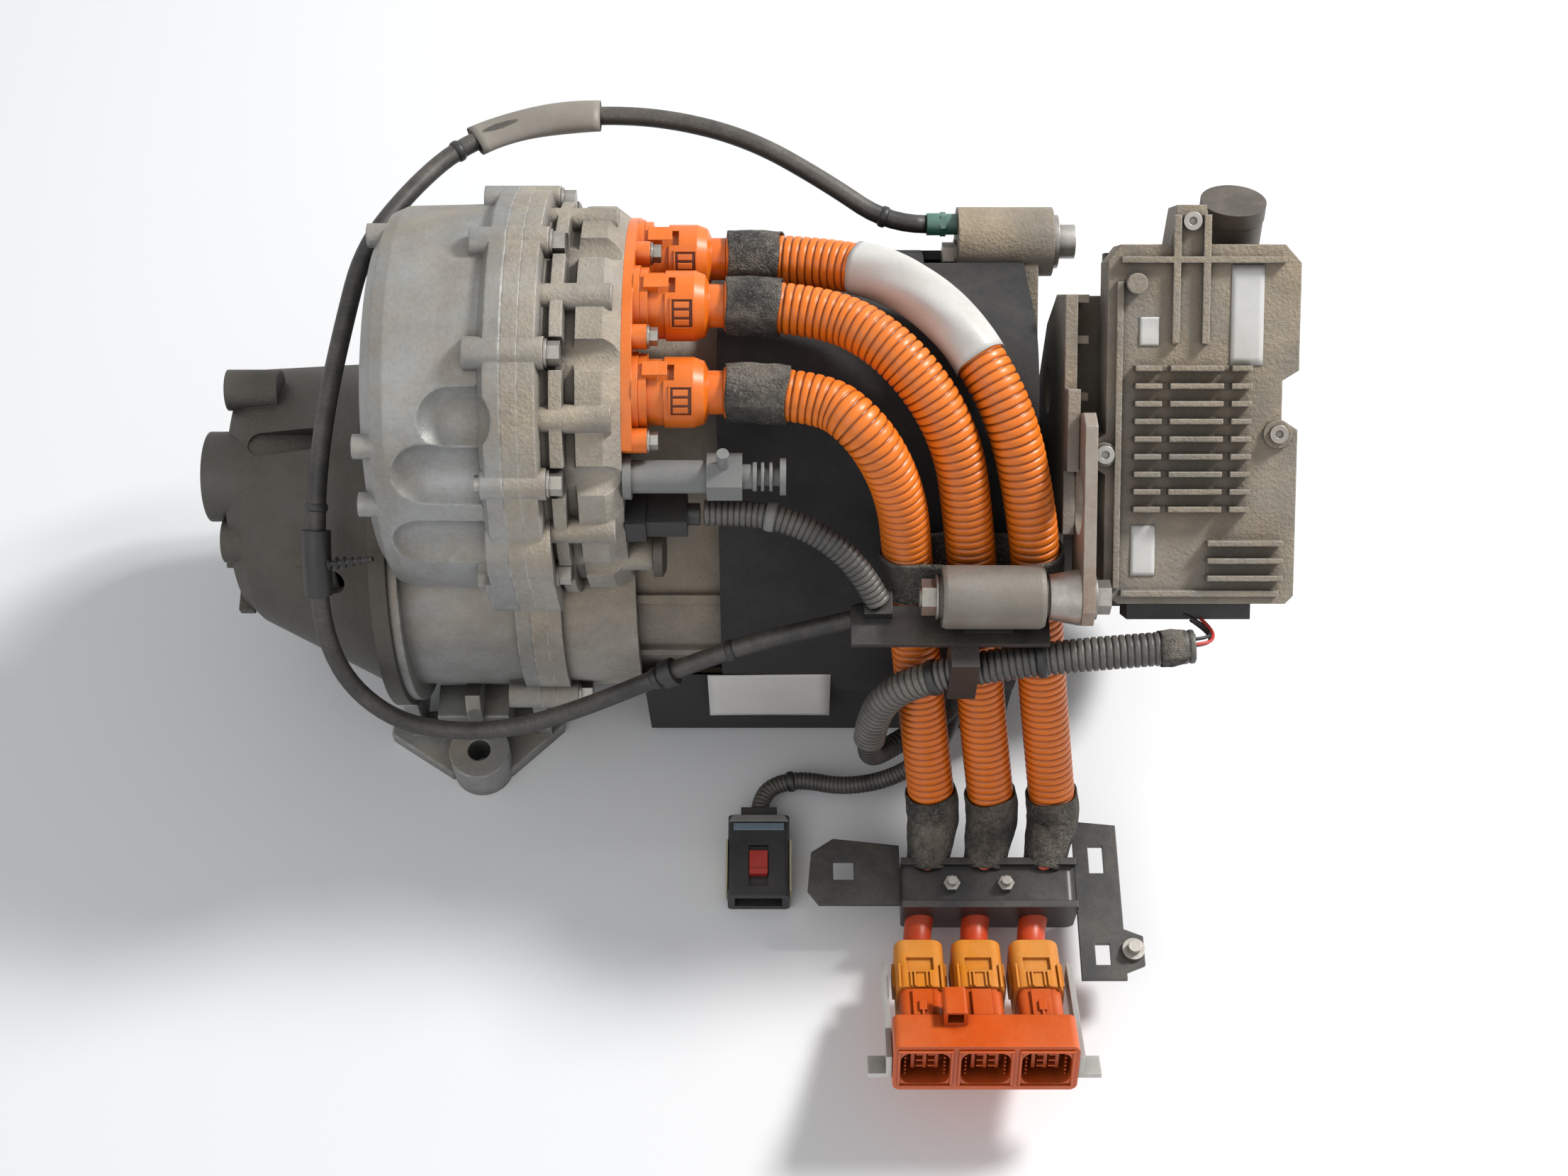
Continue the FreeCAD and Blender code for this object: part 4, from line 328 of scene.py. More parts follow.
# %% [markdown]
# A material places the groups it needs in one order: the plain colour, blotches
# in it, dust on top, then the edges lightened by wear and a painted highlight, the
# corners darkened by painted shade and dirt, and a bump from the grain. The
# Principled shader holds the constant numbers itself.

# %% Material helpers
def place_group(tree, group_made, links=None, **values):
    made = tree.nodes.new("ShaderNodeGroup")
    made.node_tree = group_made
    for key, value in values.items():
        made.inputs[key.replace("_", " ")].default_value = value
    for socket, source in (links or {}).items():
        tree.links.new(source, made.inputs[socket])
    return made.outputs


def shader(name, **values):
    made = bpy.data.materials.new(name)
    made.use_nodes = True
    principled = made.node_tree.nodes["Principled BSDF"]
    for key, value in values.items():
        principled.inputs[key.replace("_", " ")].default_value = value
    return made, made.node_tree, principled.inputs


def bump(tree, shade, height, strength, distance, normal=None):
    made = node(tree, "Bump", {"Height": height}, Strength=strength, Distance=distance)
    if normal:
        tree.links.new(normal, made.inputs["Normal"])
    tree.links.new(made.outputs["Normal"], shade["Normal"])


def rgb(color, share=1.0, lift=0.0, most=1.0):
    """A colour as a socket wants it: scaled, lifted and held below a limit."""
    return tuple(min(most, share * c + lift) for c in color) + (1,)


def cast_metal(name, color, stain, dust, dust_amount, metallic, roughness, grain=520.0, depth=0.0006,
               rub_and_highlight=0.55, dirt_and_shade=0.75, edge=0.0012):
    """Cast or rolled metal: stained and dusty, its edges lightened by wear and a painted highlight, its
    corners darkened by painted shade and dirt.
    """
    made, tree, shade = shader(name, Metallic=metallic, Roughness=roughness)
    blotch = place_group(tree, blotches, Color=rgb(color), Stain_Color=rgb(stain), Amount=0.7, Scale=17.0)
    film = place_group(tree, dust_film, {"Color": blotch["Color"]}, Dust_Color=rgb(dust),
                       Amount=dust_amount, Scale=9.0)
    # A lighter copy of the metal on its edges is wear and painted highlight; a darker copy of the stain in
    # its corners is painted shade and dirt.
    worn_and_painted = place_group(tree, wear_and_painted_light, {"Color": film["Color"]}, Rub_Color=rgb(color, 1.55, 0.05, 0.62), Rub=rub_and_highlight,
                       Dirt=dirt_and_shade, Round=edge, Dirt_Color=rgb(stain, 0.42))
    tree.links.new(worn_and_painted["Color"], shade["Base Color"])
    grain_made = place_group(tree, casting_grain, Scale=grain, Pits=0.35)
    bump(tree, shade, plus(tree, film["Crumbs"], grain_made["Height"]), 0.5, depth, worn_and_painted["Normal"])
    rough = node(tree, "MapRange", {"Value": film["Mask"]}, To_Min=roughness, To_Max=0.95)
    tree.links.new(rough.outputs["Result"], shade["Roughness"])
    return made


def moulded(name, color, roughness, dust_amount=0.25, dust=(0.42, 0.37, 0.30), grain=1500.0,
            metallic=0.0, depth=0.00012, stain_amount=0.4, dirt_and_shade=0.6):
    """Plastic or rubber with painted shade in the grooves of a ribbed tube, painted highlight and wear on its
    edges, painted shade and dirt in its corners.
    """
    made, tree, shade = shader(name, Roughness=roughness, Metallic=metallic)
    blotch = place_group(tree, blotches, Color=rgb(color), Stain_Color=rgb(color, 0.6),
                         Amount=stain_amount, Scale=32.0)
    film = place_group(tree, dust_film, {"Color": blotch["Color"]}, Dust_Color=rgb(dust),
                       Amount=dust_amount, Scale=17.0)
    groove = node(tree, "Attribute", attribute_name="groove").outputs["Fac"]
    # The grooves of a ribbed tube get a painted shade: a tenth of the colour.
    groove_painted_shade = mixed(tree, groove, film["Color"], rgb(color, 0.10))
    # A lighter copy of the colour on edges is wear and painted highlight; a darker copy in corners is painted
    # shade and dirt.
    worn_and_painted = place_group(tree, wear_and_painted_light, {"Color": groove_painted_shade}, Rub_Color=rgb(color, 1.25, 0.02, 0.9),
                       Rub=0.4, Dirt=dirt_and_shade, Round=0.0006, Dirt_Color=rgb(color, 0.22))
    tree.links.new(worn_and_painted["Color"], shade["Base Color"])
    grain_made = place_group(tree, casting_grain, Scale=grain, Pits=0.1)
    bump(tree, shade, grain_made["Height"], 0.35, depth, worn_and_painted["Normal"])
    return made


def cloth(name, color, thread, scale):
    """Woven tape with a little dust in it."""
    made, tree, shade = shader(name, Roughness=0.9)
    weave = place_group(tree, woven, Scale=scale)
    threads = mixed(tree, weave["Mask"], rgb(color), rgb(thread))
    film = place_group(tree, dust_film, {"Color": threads}, Amount=0.3, Scale=40.0)
    tree.links.new(film["Color"], shade["Base Color"])
    bump(tree, shade, weave["Height"], 0.8, 0.0005)
    return made


# %% [markdown]
# The finishes. A node takes the finish of its slot in the record, apart from a
# few that look different from the rest of their slot.

# %% Finishes
finish = {
    # The dark casting's colour is a painted shadow: the housing is darkened for the shade of the motor beside
    # it.
    "cast_dark": cast_metal("casting_with_painted_shadow", (0.085, 0.08, 0.072), (0.03, 0.028, 0.025),
                            (0.16, 0.135, 0.10), 0.55, 0.25, 0.5, rub_and_highlight=0.3),
    "cast_pale": cast_metal("pale_casting", (0.345, 0.355, 0.35), (0.15, 0.145, 0.13),
                            (0.36, 0.30, 0.225), 0.75, 0.4, 0.4, 900.0, 0.0003, edge=0.002),
    "cast_dusty": cast_metal("dusty_casting", (0.27, 0.25, 0.22), (0.10, 0.088, 0.07),
                             (0.40, 0.32, 0.225), 0.95, 0.15, 0.66, rub_and_highlight=0.9),
    "cast_bright": cast_metal("bright_casting", (0.37, 0.355, 0.325), (0.13, 0.112, 0.09),
                              (0.50, 0.42, 0.315), 0.85, 0.2, 0.6, rub_and_highlight=0.9, dirt_and_shade=0.95),
    "rusty_steel": cast_metal("stained_plate", (0.34, 0.30, 0.26), (0.20, 0.085, 0.03), (0.34, 0.27, 0.20),
                              0.4, 0.5, 0.5, 700.0, 0.0003),
    "pale_steel": cast_metal("bright_steel", (0.62, 0.62, 0.60), (0.40, 0.38, 0.34), (0.42, 0.38, 0.31),
                             0.3, 0.6, 0.4, 900.0, 0.0001, edge=0.0005),
    "foam": moulded("foam_skin", (0.016, 0.016, 0.017), 0.85, 0.3, (0.11, 0.10, 0.09), 900.0, depth=0.0005),
    "steel": cast_metal("plated_steel", (0.44, 0.43, 0.41), (0.21, 0.18, 0.14), (0.36, 0.31, 0.25),
                        0.35, 0.8, 0.36, 900.0, 0.0001, edge=0.0005),
    "copper": moulded("winding_varnish", (0.45, 0.19, 0.07), 0.35, 0.0, metallic=0.8),
    "orange_plastic": moulded("orange_plastic", (0.88, 0.175, 0.006), 0.36, 0.16, (0.60, 0.36, 0.20),
                              dirt_and_shade=0.5),
    "orange_conduit": moulded("orange_conduit", (0.90, 0.20, 0.008), 0.36, 0.1, (0.62, 0.36, 0.18), dirt_and_shade=0.9),
    "orange_deep": moulded("header_orange", (0.70, 0.095, 0.006), 0.34, 0.22, (0.60, 0.30, 0.15), dirt_and_shade=0.8),
    # The window's dark orange-brown sheet is painted shade for a recess.
    "orange_painted_shade": moulded("window_painted_shade", (0.13, 0.02, 0.004), 0.6, 0.1),
    "orange_rubber": moulded("cable_jacket", (0.66, 0.06, 0.01), 0.4, 0.1, (0.6, 0.33, 0.2)),
    "amber_plastic": moulded("amber_plastic", (0.78, 0.25, 0.01), 0.46, 0.3, (0.72, 0.46, 0.2)),
    "black_plastic": moulded("black_plastic", (0.016, 0.016, 0.017), 0.45, 0.2, (0.16, 0.145, 0.125)),
    "grey_plastic": moulded("grey_plastic", (0.20, 0.205, 0.20), 0.5, 0.35, (0.38, 0.34, 0.28)),
    "brown_plastic": moulded("brown_plastic", (0.055, 0.045, 0.036), 0.5, 0.5, (0.24, 0.20, 0.15)),
    "green_plastic": moulded("green_plastic", (0.035, 0.17, 0.135), 0.45, 0.25),
    "red_plastic": moulded("red_plastic", (0.55, 0.03, 0.02), 0.4, 0.1),
    "black_rubber": moulded("hose_rubber", (0.014, 0.014, 0.015), 0.48, 0.55, (0.20, 0.175, 0.145)),
    "tag_film": moulded("hose_tag", (0.29, 0.265, 0.235), 0.5, 0.5, (0.30, 0.26, 0.20), stain_amount=0.6),
    "pale_plastic": moulded("pale_plastic", (0.55, 0.52, 0.33), 0.5, 0.2),
    "seal_blue": moulded("seal_blue", (0.16, 0.22, 0.28), 0.5, 0.2),
    "grey_rubber": moulded("grey_conduit", (0.06, 0.058, 0.055), 0.45, 0.75, (0.27, 0.25, 0.21), dirt_and_shade=1.2),
    "felt": cloth("woven_tape", (0.010, 0.010, 0.011), (0.19, 0.175, 0.155), 620.0),
    "grey_metal": cast_metal("bush_metal", (0.235, 0.22, 0.195), (0.15, 0.13, 0.105), (0.29, 0.245, 0.19),
                             0.5, 0.35, 0.48, 1100.0, 0.0002),
    "black_steel": moulded("coated_steel", (0.02, 0.02, 0.021), 0.38, 0.35, (0.20, 0.17, 0.135)),
    "white_film": moulded("blank_film", (0.68, 0.67, 0.64), 0.38, 0.4, (0.46, 0.41, 0.34), stain_amount=0.2),
}
own_look = {
    "motor_middle_ring": "cast_bright", "motor_end_cover": "cast_bright", "slotted_plate": "rusty_steel",
    "header_rails": "pale_steel", "header_block": "orange_deep", "inlet_plugs": "orange_deep",
    "port_cap": "brown_plastic", "disconnect_actuator": "brown_plastic", "wire_conduit": "grey_rubber",
}
slot_of = {item["node"]: item["material_slot"] for item in frame["record"]["subparts"]}
for name, made in nodes.items():
    made.data.materials.clear()
    made.data.materials.append(finish[own_look.get(name, slot_of[name])])
floor.data.materials.append(shader("pale_floor", Base_Color=(0.9, 0.9, 0.9, 1), Roughness=0.9)[0])
print(len(finish), "finishes on", len(nodes), "nodes")

# %% [markdown]
# A new piece is a mesh of its own. These helpers smooth it, thicken a sheet, and
# give a piece its finish and the body that it rides on.

# %% Dressing helpers
def smooth(made):
    made.data.polygons.foreach_set("use_smooth", [True] * len(made.data.polygons))


def thicken(made, thickness, offset):
    skin = made.modifiers.new("thickness", "SOLIDIFY")
    skin.thickness = thickness
    skin.offset = offset


def dressed(made, material):
    """Give a new piece its finish, and let it ride on the unit."""
    made.data.materials.append(finish[material])
    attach(made, "unit")
    return made


print("slots in use:", len(set(slot_of.values())))

# %% [markdown]
# Every hose and conduit follows one smooth curve, whose control points are the
# corners of the real route. The routes run from plug to clamp, from the green
# fitting round the motor to the harness bar, and along the low-voltage wires.

# %% Routes, in metres
def metres(points):
    return [tuple(value / 1000 for value in point) for point in points]


PLUGS = [(52.811, 167.655), (11.268, 183.601), (-31.714, 172.084)]
PLUG_END = 270.0
conduit_tails = [
    [(366, 27, 182), (405, -32, 174), (422, -67, 117), (429, -96, 56), (437, -123, -2),
     (445, -152, -53)],
    [(352, -14, 186), (382, -46, 160), (391, -69, 108), (397, -96, 56), (404, -123, -2),
     (412, -152, -53)],
    [(338, -52, 172), (356, -66, 138), (361, -80, 92), (366, -99, 48), (373, -124, -4),
     (380, -152, -53)],
]
STRAIGHT = 44
conduit_routes = [
    metres([(PLUG_END, *spot), (PLUG_END + STRAIGHT, *spot)] + tail)
    for spot, tail in zip(PLUGS, conduit_tails)
]
vent_route = metres([
    (374, 104, 133), (354, 104, 133), (322, 122, 145), (282, 142, 156), (240, 152, 161),
    (200, 154, 162), (162, 150, 160), (130, 134, 160), (106, 104, 160), (85, 68, 157),
    (76, 32, 141), (68, -4, 124), (63, -40, 104), (62, -72, 80), (62, -94, 50),
    (70, -108, 18), (92, -118, -6), (122, -122, -12), (156, -124, -4), (188, -122, 12),
    (222, -118, 32), (258, -112, 52), (294, -106, 64), (328, -101, 70), (346, -98, 74),
])
wire_route = metres([
    (344, -130, -4), (345, -128, 24), (358, -126, 49), (388, -125, 64), (426, -123, 72),
    (464, -122, 78), (502, -120, 80),
])
cable_starts = [metres([tail[-1], (x, -186, -74.5)]) for tail, x in zip(conduit_tails, (437, 405, 375))]
sensor_route = metres([
    (260, -70.3, 125.6), (276, -70.5, 125.8), (298, -74, 127), (322, -83, 120), (338, -94, 107),
    (345.5, -102.5, 94),
])
branch_route = metres([
    (392, -101.5, 4), (392, -102, -26), (385, -110, -54), (362, -119, -76), (333, -120, -87),
    (309, -113, -91), (292, -117, -91), (285, -127.5, -91), (285, -139, -91),
])
link_route = metres([
    (344, -130, -3), (343.5, -131, -17), (348, -127, -31), (364, -114, -37), (382, -104.5, -32),
    (391, -101.8, -18), (392, -101.5, -4),
])
print(len(conduit_routes) + 5, "routes")

# %% [markdown]
# A NURBS spline rounds the corners of a route by itself. A tube is a row of
# rings along that line. A ribbed conduit is a tube whose radius goes up and down.

# %% Lines and tubes
UP = Vector((0, 0, 1))


def centre_line(name, route):
    """The points of a smooth NURBS curve through the route's corners."""
    curve = bpy.data.curves.new(name, "CURVE")
    curve.dimensions = "3D"
    curve.resolution_u = 24
    spline = curve.splines.new("NURBS")
    spline.points.add(len(route) - 1)
    for point, place in zip(spline.points, route):
        point.co = (*place, 1)
    spline.order_u = 3
    spline.use_endpoint_u = True
    holder = bpy.data.objects.new(name, curve)
    scene.collection.objects.link(holder)
    bpy.context.view_layer.update()
    line = bpy.data.meshes.new_from_object(holder)
    points = [vertex.co.copy() for vertex in line.vertices]
    bpy.data.objects.remove(holder)
    return points


def length_of(points):
    return sum((b - a).length for a, b in zip(points, points[1:]))


def spaced(points, step):
    """Points at equal steps along a line of points."""
    total = length_of(points)
    count = max(2, round(total / step))
    wanted = [total * index / count for index in range(count + 1)]
    found, gone, index = [], 0.0, 0
    for mark in wanted:
        while index < len(points) - 2 and gone + (points[index + 1] - points[index]).length < mark:
            gone += (points[index + 1] - points[index]).length
            index += 1
        span = (points[index + 1] - points[index]).length
        found.append(points[index].lerp(points[index + 1], min(1.0, (mark - gone) / span)))
    return found


def frames_along(points, across=UP):
    """Each point of a line with a steady pair of side directions."""
    framed = []
    for index, point in enumerate(points):
        ahead = (points[min(index + 1, len(points) - 1)] - points[max(index - 1, 0)]).normalized()
        across = (across - ahead * across.dot(ahead)).normalized()
        framed.append((point, across.copy(), ahead.cross(across)))
    return framed


def ring_faces(rows, sides):
    """The quads between rows of points, where each row closes to a ring."""
    return [
        (row * sides + k, row * sides + (k + 1) % sides,
         (row + 1) * sides + (k + 1) % sides, (row + 1) * sides + k)
        for row in range(rows) for k in range(sides)
    ]


def swept(name, points, radii, material, sides=24):
    """A closed tube with its own radius at each point of a line."""
    heading = (points[1] - points[0]).normalized()
    framed = frames_along(points, heading.orthogonal().normalized())
    turns = [2 * math.pi * side / sides for side in range(sides)]
    verts = [point + radius * (across * math.cos(turn) + other * math.sin(turn))
             for (point, across, other), radius in zip(framed, radii) for turn in turns]
    last = len(points) - 1
    caps = [tuple(reversed(range(sides))), tuple(range(last * sides, (last + 1) * sides))]
    made = mesh_object(name, verts, ring_faces(last, sides) + caps)
    smooth(made)
    return dressed(made, material)


def even_tube(name, points, radius, material, sides):
    return swept(name, points, [radius] * len(points), material, sides)


RIB = (0.0, 0.8, 0.97, 1.0, 1.0, 1.0, 0.97, 0.8)
GROOVE_SHADE = 0.9


def ribbed(name, points, radius, depth, pitch, material, sides=32):
    """A corrugated tube: each rib is a smooth ring with a groove beside it."""
    line = spaced(points, pitch / len(RIB))
    radii = [radius - depth * (1 - RIB[index % len(RIB)]) for index in range(len(line))]
    tube = swept(name, line, radii, material, sides)
    # The groove attribute marks the rings where a painted shade darkens the grooves.
    groove = tube.data.attributes.new("groove", "FLOAT", "POINT")
    shades = [GROOVE_SHADE if index % len(RIB) == 0 else 0.0 for index in range(len(line))]
    groove.data.foreach_set("value", [shade for shade in shades for _ in range(sides)])
    return tube


def free_cord(tube, line, step, **said):
    """Work out a cord's length and its points at equal steps, and keep neither."""
    length_of(line)
    [tuple(p) for p in spaced(line, step)]


print("a rib has", len(RIB), "rings")

# %% [markdown]
# The three orange conduits stand for plain tubes of the model. What hangs on
# their far ends is listed with them and looked up, but nothing more is done with
# it: cuffs, clamp, brackets and header.

# %% Orange conduits
CONDUIT_RADIUS = 0.0125
conduits = []
for index, route in enumerate(conduit_routes, start=1):
    line = centre_line(f"conduit_line_{index}", route)
    tube = ribbed(f"ribbed_conduit_{index}", line, CONDUIT_RADIUS, 0.0018, 0.0042,
                  "orange_conduit")
    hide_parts(f"hv_conduit_{index}")
    conduits.append((tube, line))
    print("conduit", index, round(length_of(line), 3), "m")
ends = [
    ["inlet_collars", "tape_cuffs", "blank_sleeves"],
    ["hv_cable_stubs", "header_block", "header_rails", "harness_clamp", "clamp_studs",
     "left_bracket", "right_strip", "conduit_felt_band"],
    ["inlet_plugs"],
]
for (tube, line), names in zip(conduits, ends):
    free_cord(tube, line, 0.006, exit=tuple(line[0]), diameter=2 * CONDUIT_RADIUS, far_end="connector",
              with_pieces=[nodes[name] for name in names])

# %% [markdown]
# The vent hose is a thin black hose that starts at the green fitting, goes in a
# wide loop over the motor and comes back along the front. The low-voltage
# conduits are fine ribbed tubes: a main run, a branch with its link, and the one
# from the resolver.

# %% Vent hose and low-voltage conduits
VENT_RADIUS = 0.0048
vent_line = centre_line("vent_line", vent_route)
vent = even_tube("vent_hose_tube", spaced(vent_line, 0.006), VENT_RADIUS, "black_rubber", 20)
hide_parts("vent_hose")
free_cord(vent, vent_line, 0.006, exit=vent_route[0], diameter=2 * VENT_RADIUS, far_end="object",
          with_pieces=[nodes["vent_hose_clips"]])


def low_voltage(name, route, sizes, material, sides, step, stands_for=None, **said):
    """A fine ribbed conduit; sizes are its radius, rib depth and rib pitch."""
    radius, depth, pitch = sizes
    line = centre_line(f"{name}_line", route)
    tube = ribbed(f"{name}_tube", line, radius, depth, pitch, material, sides)
    if stands_for:
        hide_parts(stands_for)
    free_cord(tube, line, step, exit=route[0], diameter=2 * radius, **said)
    return line


wire_line = low_voltage("wire_conduit", wire_route, (0.0085, 0.0013, 0.0034), "grey_rubber", 24, 0.004,
                        "wire_conduit", far_end="object")
sensor_line = low_voltage("sensor_conduit", sensor_route, (0.0065, 0.001, 0.003), "grey_rubber", 20, 0.003,
                          "sensor_conduit", far_end="object")
branch_line = low_voltage("wire_branch", branch_route, (0.005, 0.0006, 0.0024), "black_rubber", 18, 0.003,
                          "wire_branch", far_end="connector", with_pieces=[nodes["wire_connector"]])
low_voltage("wire_link", link_route, (0.0062, 0.0009, 0.003), "black_rubber", 20, 0.003, far_end="object")
print("vent hose", round(length_of(vent_line), 3), "m, wire conduits",
      round(length_of(wire_line), 3), round(length_of(branch_line), 3), "m")

# %% [markdown]
# Labels and tags are thin films. Each one is a small grid that is bent over
# what carries it, with a little thickness, and it stays blank.

# %% Films and labels
def film(name, point_at, columns, rows, material="white_film", thickness=0.0004):
    """A bent sheet: point_at(u, v) gives the place of each corner of its grid."""
    verts = [point_at(u / columns, v / rows) for v in range(rows + 1) for u in range(columns + 1)]
    faces = [
        (v * (columns + 1) + u, v * (columns + 1) + u + 1,
         (v + 1) * (columns + 1) + u + 1, (v + 1) * (columns + 1) + u)
        for v in range(rows) for u in range(columns)
    ]
    made = mesh_object(name, verts, faces)
    smooth(made)
    thicken(made, thickness, 0)
    return dressed(made, material)


def sleeve(name, points, radius, turns, wave):
    """A film wrapped round a stretch of a cord, by a share of a full turn."""
    framed = frames_along(points)

    def point_at(u, v):
        point, across, other = framed[round(v * (len(framed) - 1))]
        turn = 2 * math.pi * turns * (u - 0.5)
        reach = radius + wave * math.sin(5 * turn + 9 * v)
        return point + reach * (across * math.cos(turn) + other * math.sin(turn))

    return film(name, point_at, 40, len(framed) - 1)


conduit_sleeve_line = [p for p in spaced(conduits[0][1], 0.003) if 0.333 < p.x < 0.394]
conduit_sleeve = sleeve("conduit_sleeve", conduit_sleeve_line, 0.0131, 0.72, 0.0004)
hose_wrap_line = [p for p in spaced(vent_line, 0.004) if 0.135 < p.x < 0.205 and p.y > 0.1]
hose_wrap_frames = frames_along(hose_wrap_line)
TAG_HALF_WIDTH = 0.0095


def hose_wrap_at(u, v):
    """A flat tag round the hose: an oval, wider than it is thick."""
    point, across, other = hose_wrap_frames[round(v * (len(hose_wrap_frames) - 1))]
    turn = 2 * math.pi * (u - 0.5)
    thick = 0.0052 + 0.001 * math.sin(6 * v)
    return point + across * thick * math.cos(turn) + other * TAG_HALF_WIDTH * math.sin(turn)


hose_wrap = film("hose_wrap", hose_wrap_at, 36, len(hose_wrap_line) - 1, "tag_film")
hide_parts("blank_sleeves")
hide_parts("blank_sleeves")

UNIT_PLACE = Vector((0.457, -0.102, 0.091))
UNIT_TILT = math.radians(36.5)


def on_unit(x, y, z):
    """A point in the control unit's own axes, in millimetres."""
    lean_y = Vector((0, math.cos(UNIT_TILT), math.sin(UNIT_TILT)))
    lean_z = Vector((0, -math.sin(UNIT_TILT), math.cos(UNIT_TILT)))
    return UNIT_PLACE + Vector((x / 1000, 0, 0)) + lean_y * (y / 1000) + lean_z * (z / 1000)


def unit_label(name, left, low, right, high):
    def point_at(u, v):
        return on_unit(left + (right - left) * u, low + (high - low) * v, 0.35 + 0.15 * math.sin(7 * v))

    return film(name, point_at, 6, 12)


unit_label("unit_label_long", 60, 117.5, 76, 166)
unit_label("unit_label_small", 15.5, 127, 25, 141)
unit_label("unit_label_low", 13, 14, 25, 39)
jacket_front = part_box("acoustic_jacket")[0].y - 0.0004


def jacket_label_at(u, v):
    lift = 0.0003 * math.sin(5 * v + 3 * u)
    return Vector((0.258 + 0.066 * u, jacket_front + lift, -0.050 + 0.048 * v))


film("jacket_label", jacket_label_at, 10, 16)
print("films on", len(hose_wrap_line), "and", len(conduit_sleeve_line), "rings")

# %% [markdown]
# Cloth tape closes both ends of each orange conduit and one end of the main wire
# conduit. The cloth isn't quite round: it has a seam, soft folds and uneven
# edges.

# %% Cloth tape
def between(points, start, end, step=0.0012):
    """The stretch of a line from one distance along it to another."""
    line = spaced(points, step)
    return line[round(start / step):round(end / step) + 1]


TAPE_SIDES = 64
SEAM_SIDE = 11


def tape_fold(turn, row, seed):
    """How far the cloth stands up or down at one place of its skin."""
    return (0.00016 * math.sin(5 * turn + 0.5 * row + seed)
            + 0.0001 * math.sin(13 * turn - 0.8 * row + 2 * seed))


def tape_sleeve(name, points, radii, seed):
    """A cloth sleeve whose radius is blended along its line, with soft folds."""
    framed = frames_along(points)
    verts = []
    rows = len(framed)
    for row, (point, across, other) in enumerate(framed):
        t = row / (rows - 1) * (len(radii) - 1)
        low = min(int(t), len(radii) - 2)
        radius = radii[low] + (radii[low + 1] - radii[low]) * (t - low)
        ahead = across.cross(other)
        for k in range(TAPE_SIDES):
            turn = 2 * math.pi * k / TAPE_SIDES
            seam = 0.0005 * math.exp(-((k - SEAM_SIDE) / 1.6) ** 2)
            edge = 0.0006 * math.sin(3 * turn + seed) if row in (0, rows - 1) else 0.0
            reach = radius + tape_fold(turn, row, seed) + seam
            verts.append(point + reach * (across * math.cos(turn) + other * math.sin(turn)) + ahead * edge)
    made = mesh_object(name, verts, ring_faces(rows - 1, TAPE_SIDES))
    smooth(made)
    thicken(made, 0.0009, -1)
    return dressed(made, "felt")


PLUG_CUFF = (0.0140, 0.0146, 0.0145, 0.0146, 0.0143)
CLAMP_CUFF = (0.0139, 0.0143, 0.0140, 0.0132, 0.0120, 0.0109)
CUFF_START = 0.0015
TAIL_ROUNDING = 14
cuff_pieces = []
for index, ((tube, line), cuff_end) in enumerate(zip(conduits, (0.0275, 0.0275, 0.0315))):
    upper = tape_sleeve(f"plug_cuff_{index + 1}", between(line, CUFF_START, cuff_end), PLUG_CUFF, index)
    total = length_of(line)
    tail = between(line, total - 0.016, total)
    stub = [Vector(p) for p in cable_starts[index]]
    reach = (stub[1] - stub[0]).normalized()
    tail += [stub[0] + reach * 0.0012 * k for k in range(1, 24)]
    for _ in range(TAIL_ROUNDING):
        rounder = [(a + 2 * b + c) / 4 for a, b, c in zip(tail, tail[1:], tail[2:])]
        tail = tail[:1] + rounder + tail[-1:]
    cuff_pieces += [upper, tape_sleeve(f"clamp_cuff_{index + 1}", tail, CLAMP_CUFF, index + 4)]
wire_total = length_of(wire_line)
cuff_pieces.append(tape_sleeve("wire_tape", between(wire_line, wire_total - 0.016, wire_total),
                               (0.0090, 0.0094, 0.0086, 0.0070), 9))
for piece in cuff_pieces:
    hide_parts("tape_cuffs")
print("tape pieces:", len(cuff_pieces))

# %% [markdown]
# The felt band is one loop round the three conduits. Each of its rings is the
# hull of three circles, laid across the conduits where they run side by side.

# %% Felt band
BAND_STATIONS = ((0.2555, 0.2805), (0.2045, 0.2285), (0.149, 0.1745))
BAND_SIDES = 144
BAND_ROWS = 12
CIRCLE_SIDES = 48


